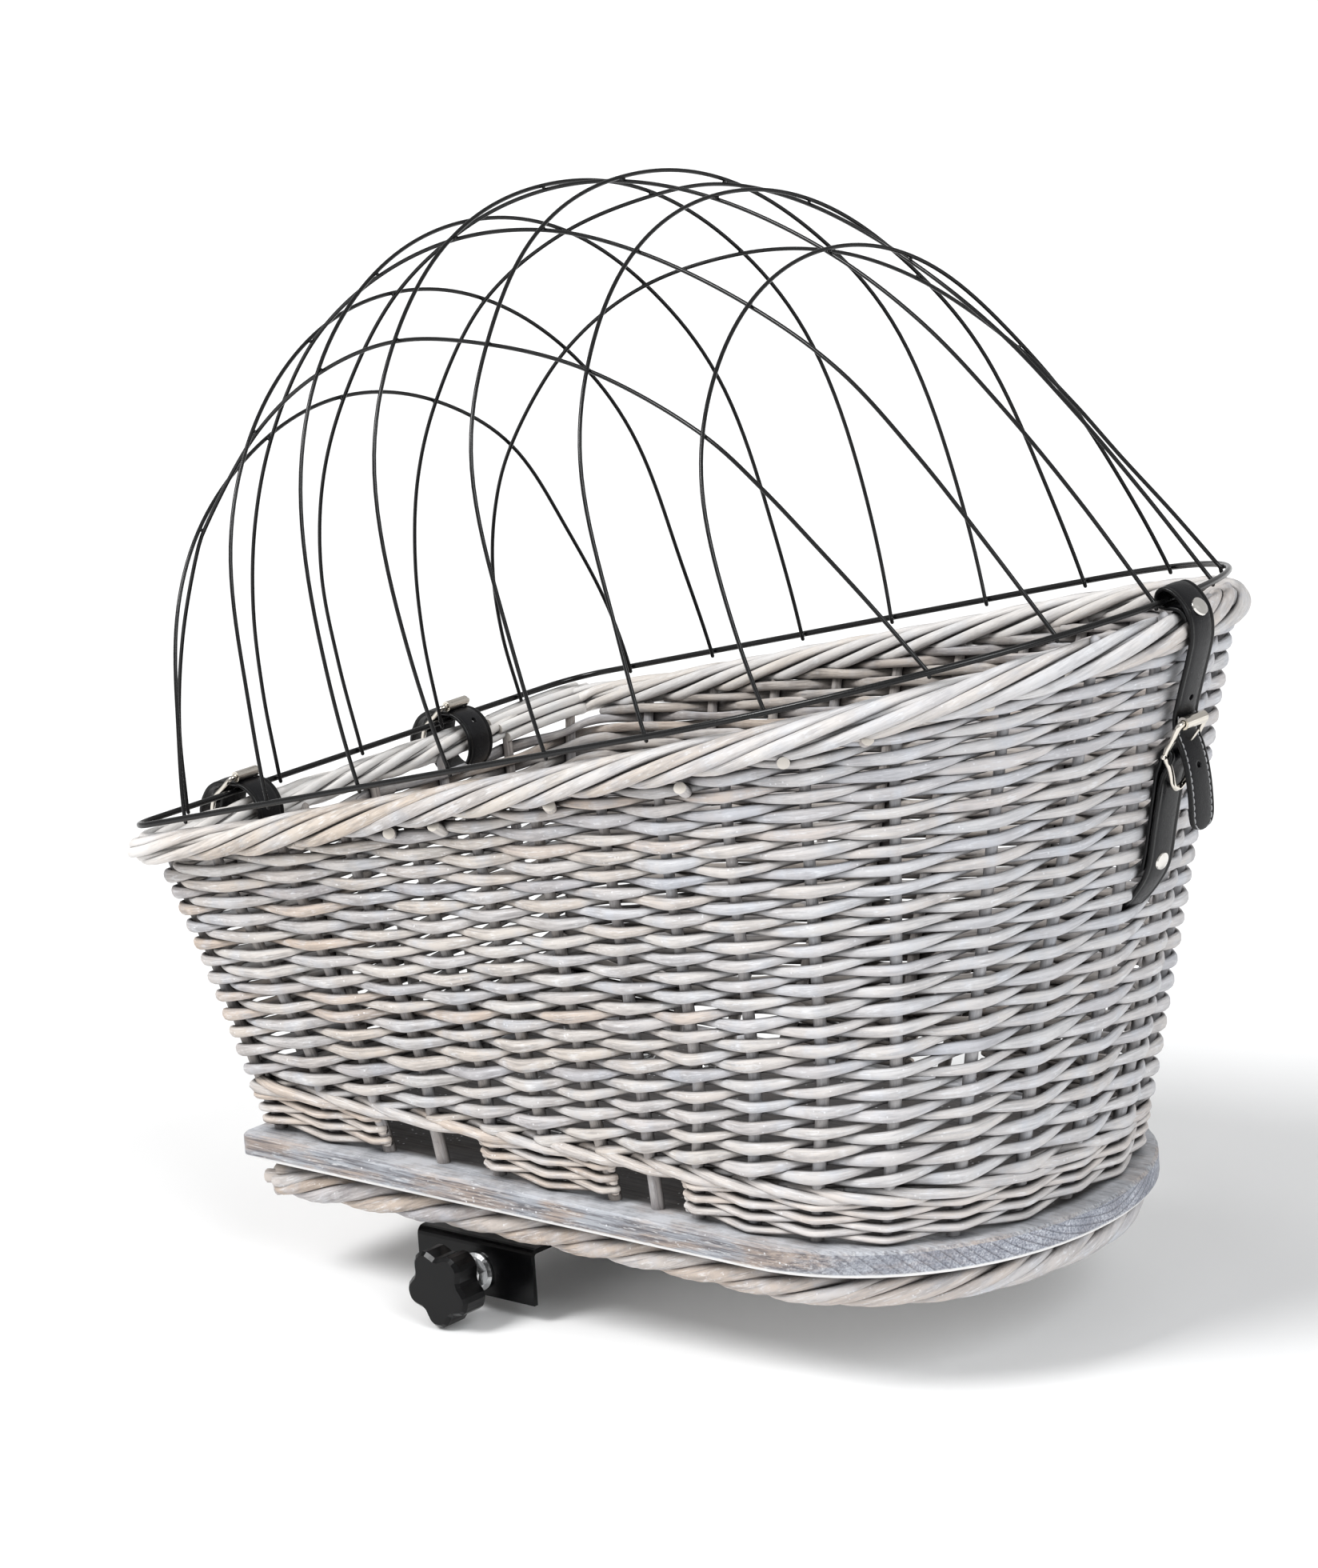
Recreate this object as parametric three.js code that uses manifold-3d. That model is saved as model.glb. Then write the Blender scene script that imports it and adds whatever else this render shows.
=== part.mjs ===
// Bicycle basket for a small dog: woven body on a board, rim and foot borders, wire dome lid
// held by two front straps and closed by a buckled rear strap, screw clamp bracket underneath.
// Millimetres. +X towards the rear of the bicycle, +Y its left side, +Z up.
// The origin is the centre of the bracket plate's underside, where it sits on the carrier.
import * as THREE from "three";
import { mergeVertices } from "three/addons/utils/BufferGeometryUtils.js";
import Module from "manifold-3d";

const wasm = await Module();
wasm.setup();

// ---------------------------------------------------------------- dimensions
const GAP = 0.3; // clearance between neighbouring pieces

const BOARD = { z0: 29.2, z1: 42.2, front: -132.5, halfWidth: 126, xs: 194.9, rear: 110.6, corner: 5 };
const RING = { front: -152.5, halfWidth: 168.5, xs: 186.5, rear: 169, corner: 21, slope: 0.253, z0: 245.4, r: 1.5 };
const TOP = { slope: 0.256, z0: 244.3 }; // plane the woven rim follows
const WIRE_R = 1.0; // hoops
const FOOT_IN = 2.82; // hoop feet stand this far inside the ring's centre line
const FOOT_DOWN = 2.2; // and reach this far below it
const CROSS = 2.36; // centre distance of two hoops where they cross
const WALL = { bottomFront: -125.5, bottomHalf: 118, bottomXs: 190, bottomRear: 105, bottomExp: 2.42, bottomCorner: 4,
  topFront: -149, topHalf: 168, topXs: 186.5, topRear: 174, topCorner: 32, z0: 42.5, topDrop: 25.2, thickBottom: 17, thickTop: 15 };
const GAPS = [ // low openings over the board, in X, each with one stake in it
  { x0: -42.2, x1: 24.4, stake: -9.5 },
  { x0: 104.7, x1: 150.2, stake: 128 },
];
const GAP_TOP = 59.5;
const RIM = { front: -150.3, halfWidth: 166, xs: 186.5, rear: 170, corner: 17, drop: 14.6, dropFront: 11.4, a: 10.1, b: 9.2, thin: 0.14, lobes: 5, turns: 15, lobe: 0.085 };
const FOOT = { front: -121, halfWidth: 110, xs: 190, rear: 97.5, corner: 8, z: 19.2, droop: 2, a: 9.6, b: 8.9, thin: 0, lobes: 5, turns: 12, lobe: 0.085 };
const PLATE = { halfX: 37.5, halfY: 102.5, t: 2.5, drop: 26, bend: 4, lip: 12 };
const BLOCK = { halfX: 30, halfY: 80 };
const BOLT = { x: 20, y: 55, r: 3, hole: 3.4 };
const CLAMP = { x: 2, z: -14, screwR: 4, screwIn: -93.2, knobFront: -134, knobBack: -118, knobR: 20 };
const STRAP_T = 2.0;

// Seven cross hoops: foot x, apex x and z (cm in the measuring frame), and radius factors at 15..165 degrees.
const T_HOOPS = [
  { x: -17.74, ax: -21.18, az: 12.92, r: [0.977, 1.003, 1.019, 1.009, 1.001, 1.004, 1.003, 0.967, 0.974] },
  { x: -12.02, ax: -17.09, az: 18.53, r: [1.003, 1.048, 1.052, 1.031, 0.998, 1.017, 1.036, 1.034, 0.989] },
  { x: -5.89, ax: -11.69, az: 22.39, r: [1.042, 1.093, 1.09, 1.051, 1.0, 1.028, 1.055, 1.069, 1.021] },
  { x: 0.01, ax: -6.57, az: 24.42, r: [1.066, 1.125, 1.097, 1.052, 1.0, 1.052, 1.099, 1.126, 1.069] },
  { x: 6.07, ax: -1.37, az: 25.02, r: [1.033, 1.092, 1.066, 1.038, 1.005, 1.055, 1.097, 1.126, 1.065] },
  { x: 12.22, ax: 4.38, az: 24.52, r: [1.001, 1.048, 1.043, 1.025, 1.003, 1.025, 1.037, 1.044, 1.005] },
  { x: 18.38, ax: 10.94, az: 22.55, r: [1.026, 1.061, 1.047, 1.022, 0.995, 0.977, 0.951, 0.949, 0.959] },
];
const T_ANGLES = [15, 30, 45, 60, 90, 120, 135, 150, 165];
// Where each cross hoop meets lengthwise hoops 1 to 5 (degrees along the cross hoop).
const MEET = [
  [47.5, 70.4, 90, 113.0, 132.8], [48.4, 67.8, 90, 111.8, 131.1], [46.9, 65.9, 90, 112.6, 130.9], [46.4, 66.6, 90, 115.3, 134.3],
  [46.0, 67.9, 90, 113.7, 135.4], [44.4, 67.3, 90, 111.7, 135.0], [38.2, 64.9, 90, 110.7, 137.5],
];
// Lengthwise hoops: y at the front and rear feet, then points on the front and the rear leg (cm in the measuring frame).
const L_HOOPS = [
  { y0: -12.6, y1: -11.34, front: [[-22.13, -12.15, -1.29], [-21.75, -11.73, 3.29], [-20.32, -11.52, 7.86]], rear: [[16.41, -12.31, 14.01], [19.15, -11.99, 11.52], [21.8, -11.66, 9.01]] },
  { y0: -6.02, y1: -6.07, front: [[-22.38, -5.94, -1.04], [-22.65, -5.86, 3.24], [-22.1, -5.78, 7.6]], rear: [[16.44, -6.49, 18.3], [20.43, -6.35, 14.79], [24.01, -6.21, 11.04]] },
  { y0: 0, y1: 0, front: [[-22.77, 0, -0.92], [-23.47, 0, 3.59], [-22.91, 0, 8.28]], rear: [[16.11, 0, 19.33], [20.62, 0, 15.62], [24.69, 0, 11.67]] },
  { y0: 6.02, y1: 6.07, front: [[-22.5, 6.09, -0.91], [-22.72, 6.16, 3.21], [-22.18, 6.23, 7.4]], rear: [[16.18, 5.48, 18.01], [20.17, 5.68, 14.56], [23.84, 5.87, 10.93]] },
  { y0: 12.16, y1: 11.34, front: [[-22.38, 11.97, -2.15], [-22.55, 11.77, 1.31], [-21.88, 11.58, 4.86]], rear: [[16.28, 10.89, 13.6], [18.92, 11.04, 11.1], [21.61, 11.19, 8.67]] },
];

// ---------------------------------------------------------------- helpers
const V = (x, y, z) => new THREE.Vector3(x, y, z);
// measuring frame (cm, origin at the ring's middle) to the part's frame (mm)
const M = (x, y, z) => V(10 * (x + 6.65), 10 * y, 10 * (z + 26.1));

function toGeometry(verts, faces) {
  const g = new THREE.BufferGeometry();
  g.setAttribute("position", new THREE.BufferAttribute(new Float32Array(verts.flatMap((v) => [v.x, v.y, v.z])), 3));
  let vol = 0;
  for (const [a, b, c] of faces) vol += verts[a].dot(verts[b].clone().cross(verts[c]));
  g.setIndex(faces.flatMap(([a, b, c]) => (vol < 0 ? [a, c, b] : [a, b, c])));
  return g;
}
// A closed body through sections with the same number of points; loop joins the last section to the first.
function skin(sections, loop = false) {
  const n = sections[0].length, m = sections.length, verts = sections.flat(), faces = [];
  for (let i = 0; i < (loop ? m : m - 1); i++)
    for (let j = 0; j < n; j++) {
      const a = i * n + j, b = i * n + ((j + 1) % n), c = ((i + 1) % m) * n + j, d = ((i + 1) % m) * n + ((j + 1) % n);
      faces.push([a, b, d], [a, d, c]);
    }
  if (!loop)
    for (const [k, flip] of [[0, true], [m - 1, false]]) {
      const centre = sections[k].reduce((s, p) => s.add(p), V(0, 0, 0)).multiplyScalar(1 / n);
      verts.push(centre);
      const q = verts.length - 1;
      for (let j = 0; j < n; j++) {
        const a = k * n + j, b = k * n + ((j + 1) % n);
        faces.push(flip ? [b, a, q] : [a, b, q]);
      }
    }
  return toGeometry(verts, faces);
}
// A prism of an outline in X and Y from z0 to z1 with a small chamfer.
function prism(outline, z0, z1, chamfer = 0) {
  const n = outline.length;
  const inset = outline.map(([x, y], i) => {
    const [px, py] = outline[(i + n - 1) % n], [qx, qy] = outline[(i + 1) % n];
    const tx = qx - px, ty = qy - py, l = Math.hypot(tx, ty) || 1;
    return [x - (chamfer * ty) / l, y + (chamfer * tx) / l];
  });
  const area = outline.reduce((s, [x, y], i) => s + x * outline[(i + 1) % n][1] - y * outline[(i + 1) % n][0], 0);
  const inner = area > 0 ? inset : outline.map(([x, y], i) => [2 * x - inset[i][0], 2 * y - inset[i][1]]);
  const rings = chamfer > 0
    ? [[inner, z0], [outline, z0 + chamfer], [outline, z1 - chamfer], [inner, z1]]
    : [[outline, z0], [outline, z1]];
  const verts = rings.flatMap(([o, z]) => o.map(([x, y]) => V(x, y, z))), faces = [];
  for (let i = 0; i < rings.length - 1; i++)
    for (let j = 0; j < n; j++) {
      const a = i * n + j, b = i * n + ((j + 1) % n);
      faces.push([a, b, b + n], [a, b + n, a + n]);
    }
  const cap = THREE.ShapeUtils.triangulateShape(rings[0][0].map(([x, y]) => new THREE.Vector2(x, y)), []);
  const top = (rings.length - 1) * n, ccw = area > 0;
  for (const [a, b, c] of cap) {
    faces.push(ccw ? [a, c, b] : [a, b, c]);
    faces.push(ccw ? [top + a, top + b, top + c] : [top + a, top + c, top + b]);
  }
  return toGeometry(verts, faces);
}
// A round or profiled rod along points; section(i, angle) returns [side, up] in mm.
function rod(points, r, n = 6, loop = false, upHint = V(0, 0, 1), section = null) {
  const m = points.length;
  const sections = points.map((p, i) => {
    const a = points[loop ? (i + m - 1) % m : Math.max(i - 1, 0)], b = points[loop ? (i + 1) % m : Math.min(i + 1, m - 1)];
    const t = b.clone().sub(a).normalize();
    const side = t.clone().cross(upHint).normalize(), up = side.clone().cross(t).normalize();
    return Array.from({ length: n }, (_, j) => {
      const w = (2 * Math.PI * j) / n;
      const [s, u] = section ? section(i / m, w) : [r * Math.cos(w), r * Math.sin(w)];
      return p.clone().addScaledVector(side, s).addScaledVector(up, u);
    });
  });
  return skin(sections, loop);
}
const man = (g) => {
  const c = g.index ? g.toNonIndexed() : g.clone();
  const bare = new THREE.BufferGeometry().setAttribute("position", c.getAttribute("position"));
  const m = mergeVertices(bare, 1e-4);
  return new wasm.Manifold(new wasm.Mesh({ numProp: 3, vertProperties: new Float32Array(m.attributes.position.array), triVerts: new Uint32Array(m.index.array) }));
};
const geo = (s) => {
  const m = s.getMesh(), k = m.numProp, v = new Float32Array(m.numVert * 3);
  for (let i = 0; i < m.numVert; i++) v.set(m.vertProperties.subarray(i * k, i * k + 3), i * 3);
  return new THREE.BufferGeometry().setAttribute("position", new THREE.BufferAttribute(v, 3)).setIndex(new THREE.BufferAttribute(new Uint32Array(m.triVerts), 1));
};
const toSolid = (g) => { // rebuild with outward faces after a mirroring matrix
  const m = mergeVertices(g, 1e-4), p = m.attributes.position, verts = [], faces = [];
  for (let i = 0; i < p.count; i++) verts.push(V(p.getX(i), p.getY(i), p.getZ(i)));
  for (let i = 0; i < m.index.count; i += 3) faces.push([m.index.getX(i), m.index.getX(i + 1), m.index.getX(i + 2)]);
  return toGeometry(verts, faces);
};
const cut = (g, ...tools) => geo(tools.reduce((s, t) => s.subtract(man(t)), man(g)));
const join = (g, ...more) => geo(more.reduce((s, t) => s.add(man(t)), man(g)));
// A solid of revolution: profile of [radius, height] from axis to axis, set on origin along direction.
function turned(profile, origin, dir, n = 24) {
  const g = new THREE.LatheGeometry(profile.map(([r, h]) => new THREE.Vector2(r, h)), n);
  g.deleteAttribute("normal");
  g.deleteAttribute("uv");
  const q = new THREE.Quaternion().setFromUnitVectors(V(0, 1, 0), dir.clone().normalize());
  const k = mergeVertices(g.applyQuaternion(q).translate(origin.x, origin.y, origin.z), 1e-4);
  const pos = k.attributes.position, verts = [], faces = [];
  for (let i = 0; i < pos.count; i++) verts.push(V(pos.getX(i), pos.getY(i), pos.getZ(i)));
  for (let i = 0; i < k.index.count; i += 3) {
    const [a, b, c] = [k.index.getX(i), k.index.getX(i + 1), k.index.getX(i + 2)];
    if (a !== b && b !== c && a !== c) faces.push([a, b, c]);
  }
  return toGeometry(verts, faces);
}
const pin = (r, from, to, n = 20) => {
  const d = to.clone().sub(from), l = d.length();
  return turned([[0, 0], [r, 0], [r, l], [0, l]], from, d, n);
};
const block = (x0, x1, y0, y1, z0, z1) => new THREE.BoxGeometry(x1 - x0, y1 - y0, z1 - z0).translate((x0 + x1) / 2, (y0 + y1) / 2, (z0 + z1) / 2);
// Smooth points through a list.
const smooth = (pts, n, closed = false) => {
  const c = new THREE.CatmullRomCurve3(pts, closed, "centripetal");
  c.arcLengthDivisions = 600;
  return closed ? c.getSpacedPoints(n).slice(0, n) : c.getSpacedPoints(n);
};
// A U-shaped outline seen from above: straight front, straight sides, round rear. Closed, from the front centre to the near side.
function outline({ front, halfWidth: w, xs, rear, corner: c, exp = 2 }, counts = [4, 5, 12, 18]) {
  const [nf, nc, ns, nr] = counts, half = [];
  for (let i = 0; i < nf; i++) half.push([front, (-(w - c) * i) / nf]);
  for (let i = 0; i < nc; i++) {
    const t = ((Math.PI / 2) * i) / nc;
    half.push([front + c - c * Math.cos(t), -(w - c) - c * Math.sin(t)]);
  }
  for (let i = 0; i < ns; i++) half.push([front + c + ((xs - front - c) * i) / ns, -w]);
  for (let i = 0; i <= nr; i++) {
    const t = ((Math.PI / 2) * i) / nr;
    half.push([xs + rear * Math.sin(t) ** (2 / exp), i === nr ? 0 : -w * Math.cos(t) ** (2 / exp)]);
  }
  const far = half.slice(1, -1).reverse().map(([x, y]) => [x, -y]);
  return [...half, ...far];
}
const materials = {
  wicker: new THREE.MeshStandardMaterial({ color: 0xc9c6c4, roughness: 0.85 }),
  board: new THREE.MeshStandardMaterial({ color: 0x9a9895, roughness: 0.85 }),
  wire: new THREE.MeshStandardMaterial({ color: 0x111111, roughness: 0.3 }),
  leather: new THREE.MeshStandardMaterial({ color: 0x1c1c1f, roughness: 0.5 }),
  nickel: new THREE.MeshStandardMaterial({ color: 0xd8d2c4, metalness: 1, roughness: 0.25 }),
  steel: new THREE.MeshStandardMaterial({ color: 0xb9bcc0, metalness: 1, roughness: 0.35 }),
  black: new THREE.MeshStandardMaterial({ color: 0x151515, roughness: 0.5 }),
};
const object = new THREE.Group();
function add(name, geometry, material) {
  for (const a of ["normal", "uv"]) geometry.deleteAttribute(a);
  const mesh = new THREE.Mesh(geometry, materials[material]);
  mesh.geometry.computeVertexNormals();
  mesh.name = name;
  object.add(mesh);
}

// ---------------------------------------------------------------- board, block, bracket
const boltSpots = [[-BOLT.x, -BOLT.y], [BOLT.x, -BOLT.y], [BOLT.x, BOLT.y], [-BOLT.x, BOLT.y]];
const boltHole = ([x, y], z0, z1) => pin(BOLT.hole, V(x, y, z0), V(x, y, z1), 16);
add("base_board", cut(prism(outline({ ...BOARD, exp: 2.08 }, [1, 4, 1, 16]), BOARD.z0, BOARD.z1, 1.5), ...boltSpots.map((p) => boltHole(p, 20, 50))), "board");
{
  const s = BLOCK, o = [[-s.halfX, -s.halfY], [s.halfX, -s.halfY], [s.halfX, s.halfY], [-s.halfX, s.halfY]];
  add("spacer_block", cut(prism(o, PLATE.t + GAP, BOARD.z0 - GAP, 1.5), ...boltSpots.map((p) => boltHole(p, -1, 35))), "board");
}
{
  // U bracket: side profile in Y and Z, extruded along X; the far flange ends in an inward lip.
  const { halfY: y, t, drop, bend: b, lip } = PLATE, arc = (cy, cz, r, a0, a1) => Array.from({ length: 5 }, (_, i) => {
    const a = ((a0 + ((a1 - a0) * i) / 4) * Math.PI) / 180;
    return [cy + r * Math.cos(a), cz + r * Math.sin(a)];
  });
  const profile = [
    [-y, -drop], ...arc(-y + b, t - b, b, 180, 90), ...arc(y - b, t - b, b, 90, 0),
    ...arc(y - b, -drop + b, b, 0, -90), [y - lip, -drop], [y - lip, -drop + t], ...arc(y - b, -drop + b, b - t, -90, 0),
    ...arc(y - b, t - b, b - t, 0, 90), ...arc(-y + b, t - b, b - t, 90, 180), [-y + t, -drop],
  ];
  const g = prism(profile, -PLATE.halfX, PLATE.halfX);
  // the prism's X, Y, Z are the bracket's Y, Z, X
  g.applyMatrix4(new THREE.Matrix4().set(0, 0, 1, 0, 1, 0, 0, 0, 0, 1, 0, 0, 0, 0, 0, 1));
  const hole = pin(CLAMP.screwR + 0.5, V(CLAMP.x, -110, CLAMP.z), V(CLAMP.x, -95, CLAMP.z), 20);
  const sink = ([x, y]) => turned([[0, -1], [6.4, -1], [6.4, 0], [3.4, 3], [3.4, 6], [0, 6]], V(x, y, 0), V(0, 0, 1), 18);
  add("carrier_bracket", cut(g, hole, ...boltSpots.map(sink)), "black");
  add("bracket_liner", block(-30, 30, y - t - GAP - 3, y - t - GAP, -drop + t + GAP + 1, -4), "black");
}
// Countersunk bolts from below, flush with the seat; washer and nut on the board inside the basket.
boltSpots.forEach(([x, y], i) => {
  const h = BOARD.z1 + GAP;
  add(`bracket_bolt_${i + 1}`, turned([[0, 0.35], [5.7, 0.35], [BOLT.r, 3.05], [BOLT.r, h + 7.4], [2.4, h + 8.1], [0, h + 8.1]], V(x, y, 0), V(0, 0, 1), 14), "steel");
  const hex = Array.from({ length: 6 }, (_, k) => [x + 5.77 * Math.cos((k * Math.PI) / 3), y + 5.77 * Math.sin((k * Math.PI) / 3)]);
  add(`bracket_nut_${i + 1}`, cut(join(prism(hex, h + 0.6, h + 6, 0.5), turned([[0, h], [8, h], [8, h + 1.2], [0, h + 1.2]], V(x, y, 0), V(0, 0, 1), 20)), boltHole([x, y], h - 3, h + 9)), "steel");
});

// ---------------------------------------------------------------- clamp screw
{
  const { x, z, screwR: r, screwIn, knobFront: kf, knobBack: kb, knobR } = CLAMP, at = (y) => V(x, y, z), out = V(0, -1, 0);
  const y0 = -PLATE.halfY - GAP; // near flange's outer face
  const hex = Array.from({ length: 6 }, (_, k) => [7.5 * Math.cos((k * Math.PI) / 3 + 0.26), 7.5 * Math.sin((k * Math.PI) / 3 + 0.26)]);
  const nutHex = prism(hex, 1.4, 8, 0.7);
  // prism X, Y, Z to part X, Z, -Y
  nutHex.applyMatrix4(new THREE.Matrix4().set(1, 0, 0, x, 0, 0, -1, y0, 0, 1, 0, z, 0, 0, 0, 1));
  add("clamp_flange_nut", cut(join(turned([[0, 0], [9.75, 0], [9.75, 1.1], [8, 2.2], [0, 2.2]], at(y0), out, 30), nutHex), pin(r + GAP, at(y0 + 3), at(y0 - 12), 20)), "steel");
  add("clamp_screw", turned([[0, 0], [r - 0.7, 0], [r, 0.8], [r, screwIn - kf - 12], [0, screwIn - kf - 12]], at(screwIn), out, 20), "steel");
  add("pressure_pad", cut(turned([[0, 0], [11, 0], [11, 3], [6.5, 3.6], [6.5, 6.6], [0, 6.6]], at(screwIn + 3.6), out, 24), pin(r + GAP, at(screwIn + GAP), at(screwIn - 8), 20)), "black");
  const star = [];
  for (let i = 0; i < 45; i++) {
    const a = (2 * Math.PI * i) / 45, rr = knobR - 4.6 * (0.5 - 0.5 * Math.cos(5 * a)) ** 1.6;
    star.push([rr * Math.cos(a + 0.35), rr * Math.sin(a + 0.35)]);
  }
  const head = prism(star, 0, kb - kf, 1.8);
  head.applyMatrix4(new THREE.Matrix4().set(1, 0, 0, x, 0, 0, 1, kf, 0, -1, 0, z, 0, 0, 0, 1));
  const hub = turned([[0, 0], [8, 0], [8, 3.5], [0, 3.5]], at(kb + 3), out, 24);
  // blind socket for the screw's head end
  add("clamp_knob", cut(join(head, hub), pin(r + GAP, at(kb + 6), at(kf + 12 - GAP - 0.5), 20)), "black");
}

// ---------------------------------------------------------------- woven wall
const wallCounts = [3, 5, 11, 15];
{
  const lower = outline({ front: WALL.bottomFront, halfWidth: WALL.bottomHalf, xs: WALL.bottomXs, rear: WALL.bottomRear, corner: WALL.bottomCorner, exp: WALL.bottomExp }, wallCounts);
  const upper = outline({ front: WALL.topFront, halfWidth: WALL.topHalf, xs: WALL.topXs, rear: WALL.topRear, corner: WALL.topCorner }, wallCounts);
  const n = lower.length, normalAt = (o, i) => {
    const [ax, ay] = o[(i + n - 1) % n], [bx, by] = o[(i + 1) % n], l = Math.hypot(bx - ax, by - ay);
    return [(by - ay) / l, -(bx - ax) / l];
  };
  const levels = 5;
  const sections = lower.map((p, i) => {
    const q = upper[i], nl = normalAt(lower, i), nu = normalAt(upper, i);
    const at = (v, depth) => {
      const x = p[0] + (q[0] - p[0]) * v, y = p[1] + (q[1] - p[1]) * v;
      const zTop = TOP.slope * (q[0] - 7.5 * nu[0]) + TOP.z0 - WALL.topDrop, z = WALL.z0 + (zTop - WALL.z0) * v;
      // outline runs clockwise seen from above, so this normal points outwards
      const nx = nl[0] + (nu[0] - nl[0]) * v, ny = nl[1] + (nu[1] - nl[1]) * v, l = Math.hypot(nx, ny);
      return V(x - (depth * nx) / l, y - (depth * ny) / l, z);
    };
    const s = [];
    for (let k = 0; k <= levels; k++) s.push(at(k / levels, 0));
    for (let k = levels; k >= 0; k--) s.push(at(k / levels, WALL.thickBottom + (WALL.thickTop - WALL.thickBottom) * (k / levels)));
    return s;
  });
  let wall = man(skin(sections, true));
  for (const side of [-1, 1])
    for (const g of GAPS) {
      wall = wall.subtract(man(side < 0 ? block(g.x0, g.x1, -140, -90, 30, GAP_TOP) : block(g.x0, g.x1, 90, 140, 30, GAP_TOP)));
      wall = wall.add(man(pin(3.25, V(g.stake, side * 109.5, WALL.z0 + 0.8), V(g.stake - 0.5, side * 114.5, GAP_TOP + 6), 12)));
    }
  for (const y of [-82, 74]) wall = wall.subtract(man(block(-175, -125, y - 9.6, y + 9.6, 176.6, 200)));
  const slot = block(-60, 60, 2, 22, -2.6, 2.6);
  slot.applyMatrix4(new THREE.Matrix4().makeRotationY(-Math.atan2(8.1, 9.6))).translate(324, 0, 187.4);
  wall = wall.subtract(man(slot));
  // shallow bed pressed into the weave by the rear strap; the prism's X, Y, Z are the part's X, Z, Y
  const bed = prism([[400, 172], [400, 285], [350.6, 285], [344.4, 267], [344.0, 252], [341.8, 240], [338.4, 225.5], [334.6, 211.6], [329.6, 201.4], [324, 194], [315.6, 186.4], [306, 178.4], [306, 172]], 2.6, 21.4);
  bed.applyMatrix4(new THREE.Matrix4().set(1, 0, 0, 0, 0, 0, 1, 0, 0, 1, 0, 0, 0, 0, 0, 1));
  wall = wall.subtract(man(toSolid(bed)));
  add("wicker_wall", geo(wall), "wicker");
}

// ---------------------------------------------------------------- borders
const forward = (x) => THREE.MathUtils.smoothstep(-x, 60, 145); // 0 on the sides and rear, 1 at the front
function border(spec, zAt, counts, n) {
  const pts = outline(spec, counts).map(([x, y]) => V(x, y, zAt(x)));
  const curve = new THREE.CatmullRomCurve3(pts, true, "centripetal");
  curve.arcLengthDivisions = 1200;
  const even = curve.getSpacedPoints(n).slice(0, n);
  return rod(even, 0, 13, true, V(0, 0, 1), (f, w) => {
    const k = (1 + spec.lobe * Math.cos(spec.lobes * w - 2 * Math.PI * spec.turns * f)) * (1 - spec.thin * forward(even[Math.round(f * n) % n].x));
    return [spec.a * k * Math.cos(w), spec.b * k * Math.sin(w)];
  });
}
add("rim_border", border({ ...RIM }, (x) => TOP.slope * x + TOP.z0 - RIM.drop + (RIM.drop - RIM.dropFront) * forward(x), [4, 6, 12, 18], 92), "wicker");
add("foot_border", border({ ...FOOT, exp: 2.2 }, (x) => FOOT.z - FOOT.droop * forward(x + 30), [4, 5, 10, 14], 72), "wicker");

// ---------------------------------------------------------------- dome lid
const ringZ = (x) => RING.slope * x + RING.z0;
const ringY = (x) => { // half-width of the ring's centre line at x
  if (x > RING.xs) return RING.halfWidth * Math.sqrt(Math.max(0, 1 - ((x - RING.xs) / RING.rear) ** 2));
  const d = x - RING.front, c = RING.corner;
  return d >= c ? RING.halfWidth : RING.halfWidth - c + Math.sqrt(Math.max(0, c * c - (c - d) ** 2));
};
const ringFrontX = (y) => {
  const s = Math.abs(y) - (RING.halfWidth - RING.corner);
  return s <= 0 ? RING.front : RING.front + RING.corner - Math.sqrt(RING.corner ** 2 - s * s);
};
const ringRearX = (y) => RING.xs + RING.rear * Math.sqrt(1 - (y / RING.halfWidth) ** 2);
{
  const pts = outline(RING, [4, 8, 12, 22]).map(([x, y]) => V(x, y, ringZ(x)));
  add("dome_ring", rod(pts, RING.r, 8, true), "wire");
}
// A ring point moved inwards, at right angles to the ring, by FOOT_IN.
function inside(x, y) {
  const e = 0.5, s = Math.sign(y) || 1;
  let t;
  if (Math.abs(y) < 1e-6) t = V(0, 1, 0);
  else if (x < -60) t = Math.abs(y) > 150 ? V(2 * e, s * (ringY(x + e) - ringY(x - e)), 0) : V(ringFrontX(y + e) - ringFrontX(y - e), 2 * e, 0);
  else t = Math.abs(y) > 150 ? V(2 * e, s * (ringY(x + e) - ringY(x - e)), 0) : V(ringRearX(y + e) - ringRearX(y - e), 2 * e, 0);
  t.normalize();
  const n = V(-t.y, t.x, 0), centre = V(60, 0, 0).sub(V(x, y, 0));
  if (n.dot(centre) < 0) n.negate();
  const px = x + n.x * FOOT_IN, py = y + n.y * FOOT_IN;
  return V(px, py, ringZ(px));
}
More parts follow.
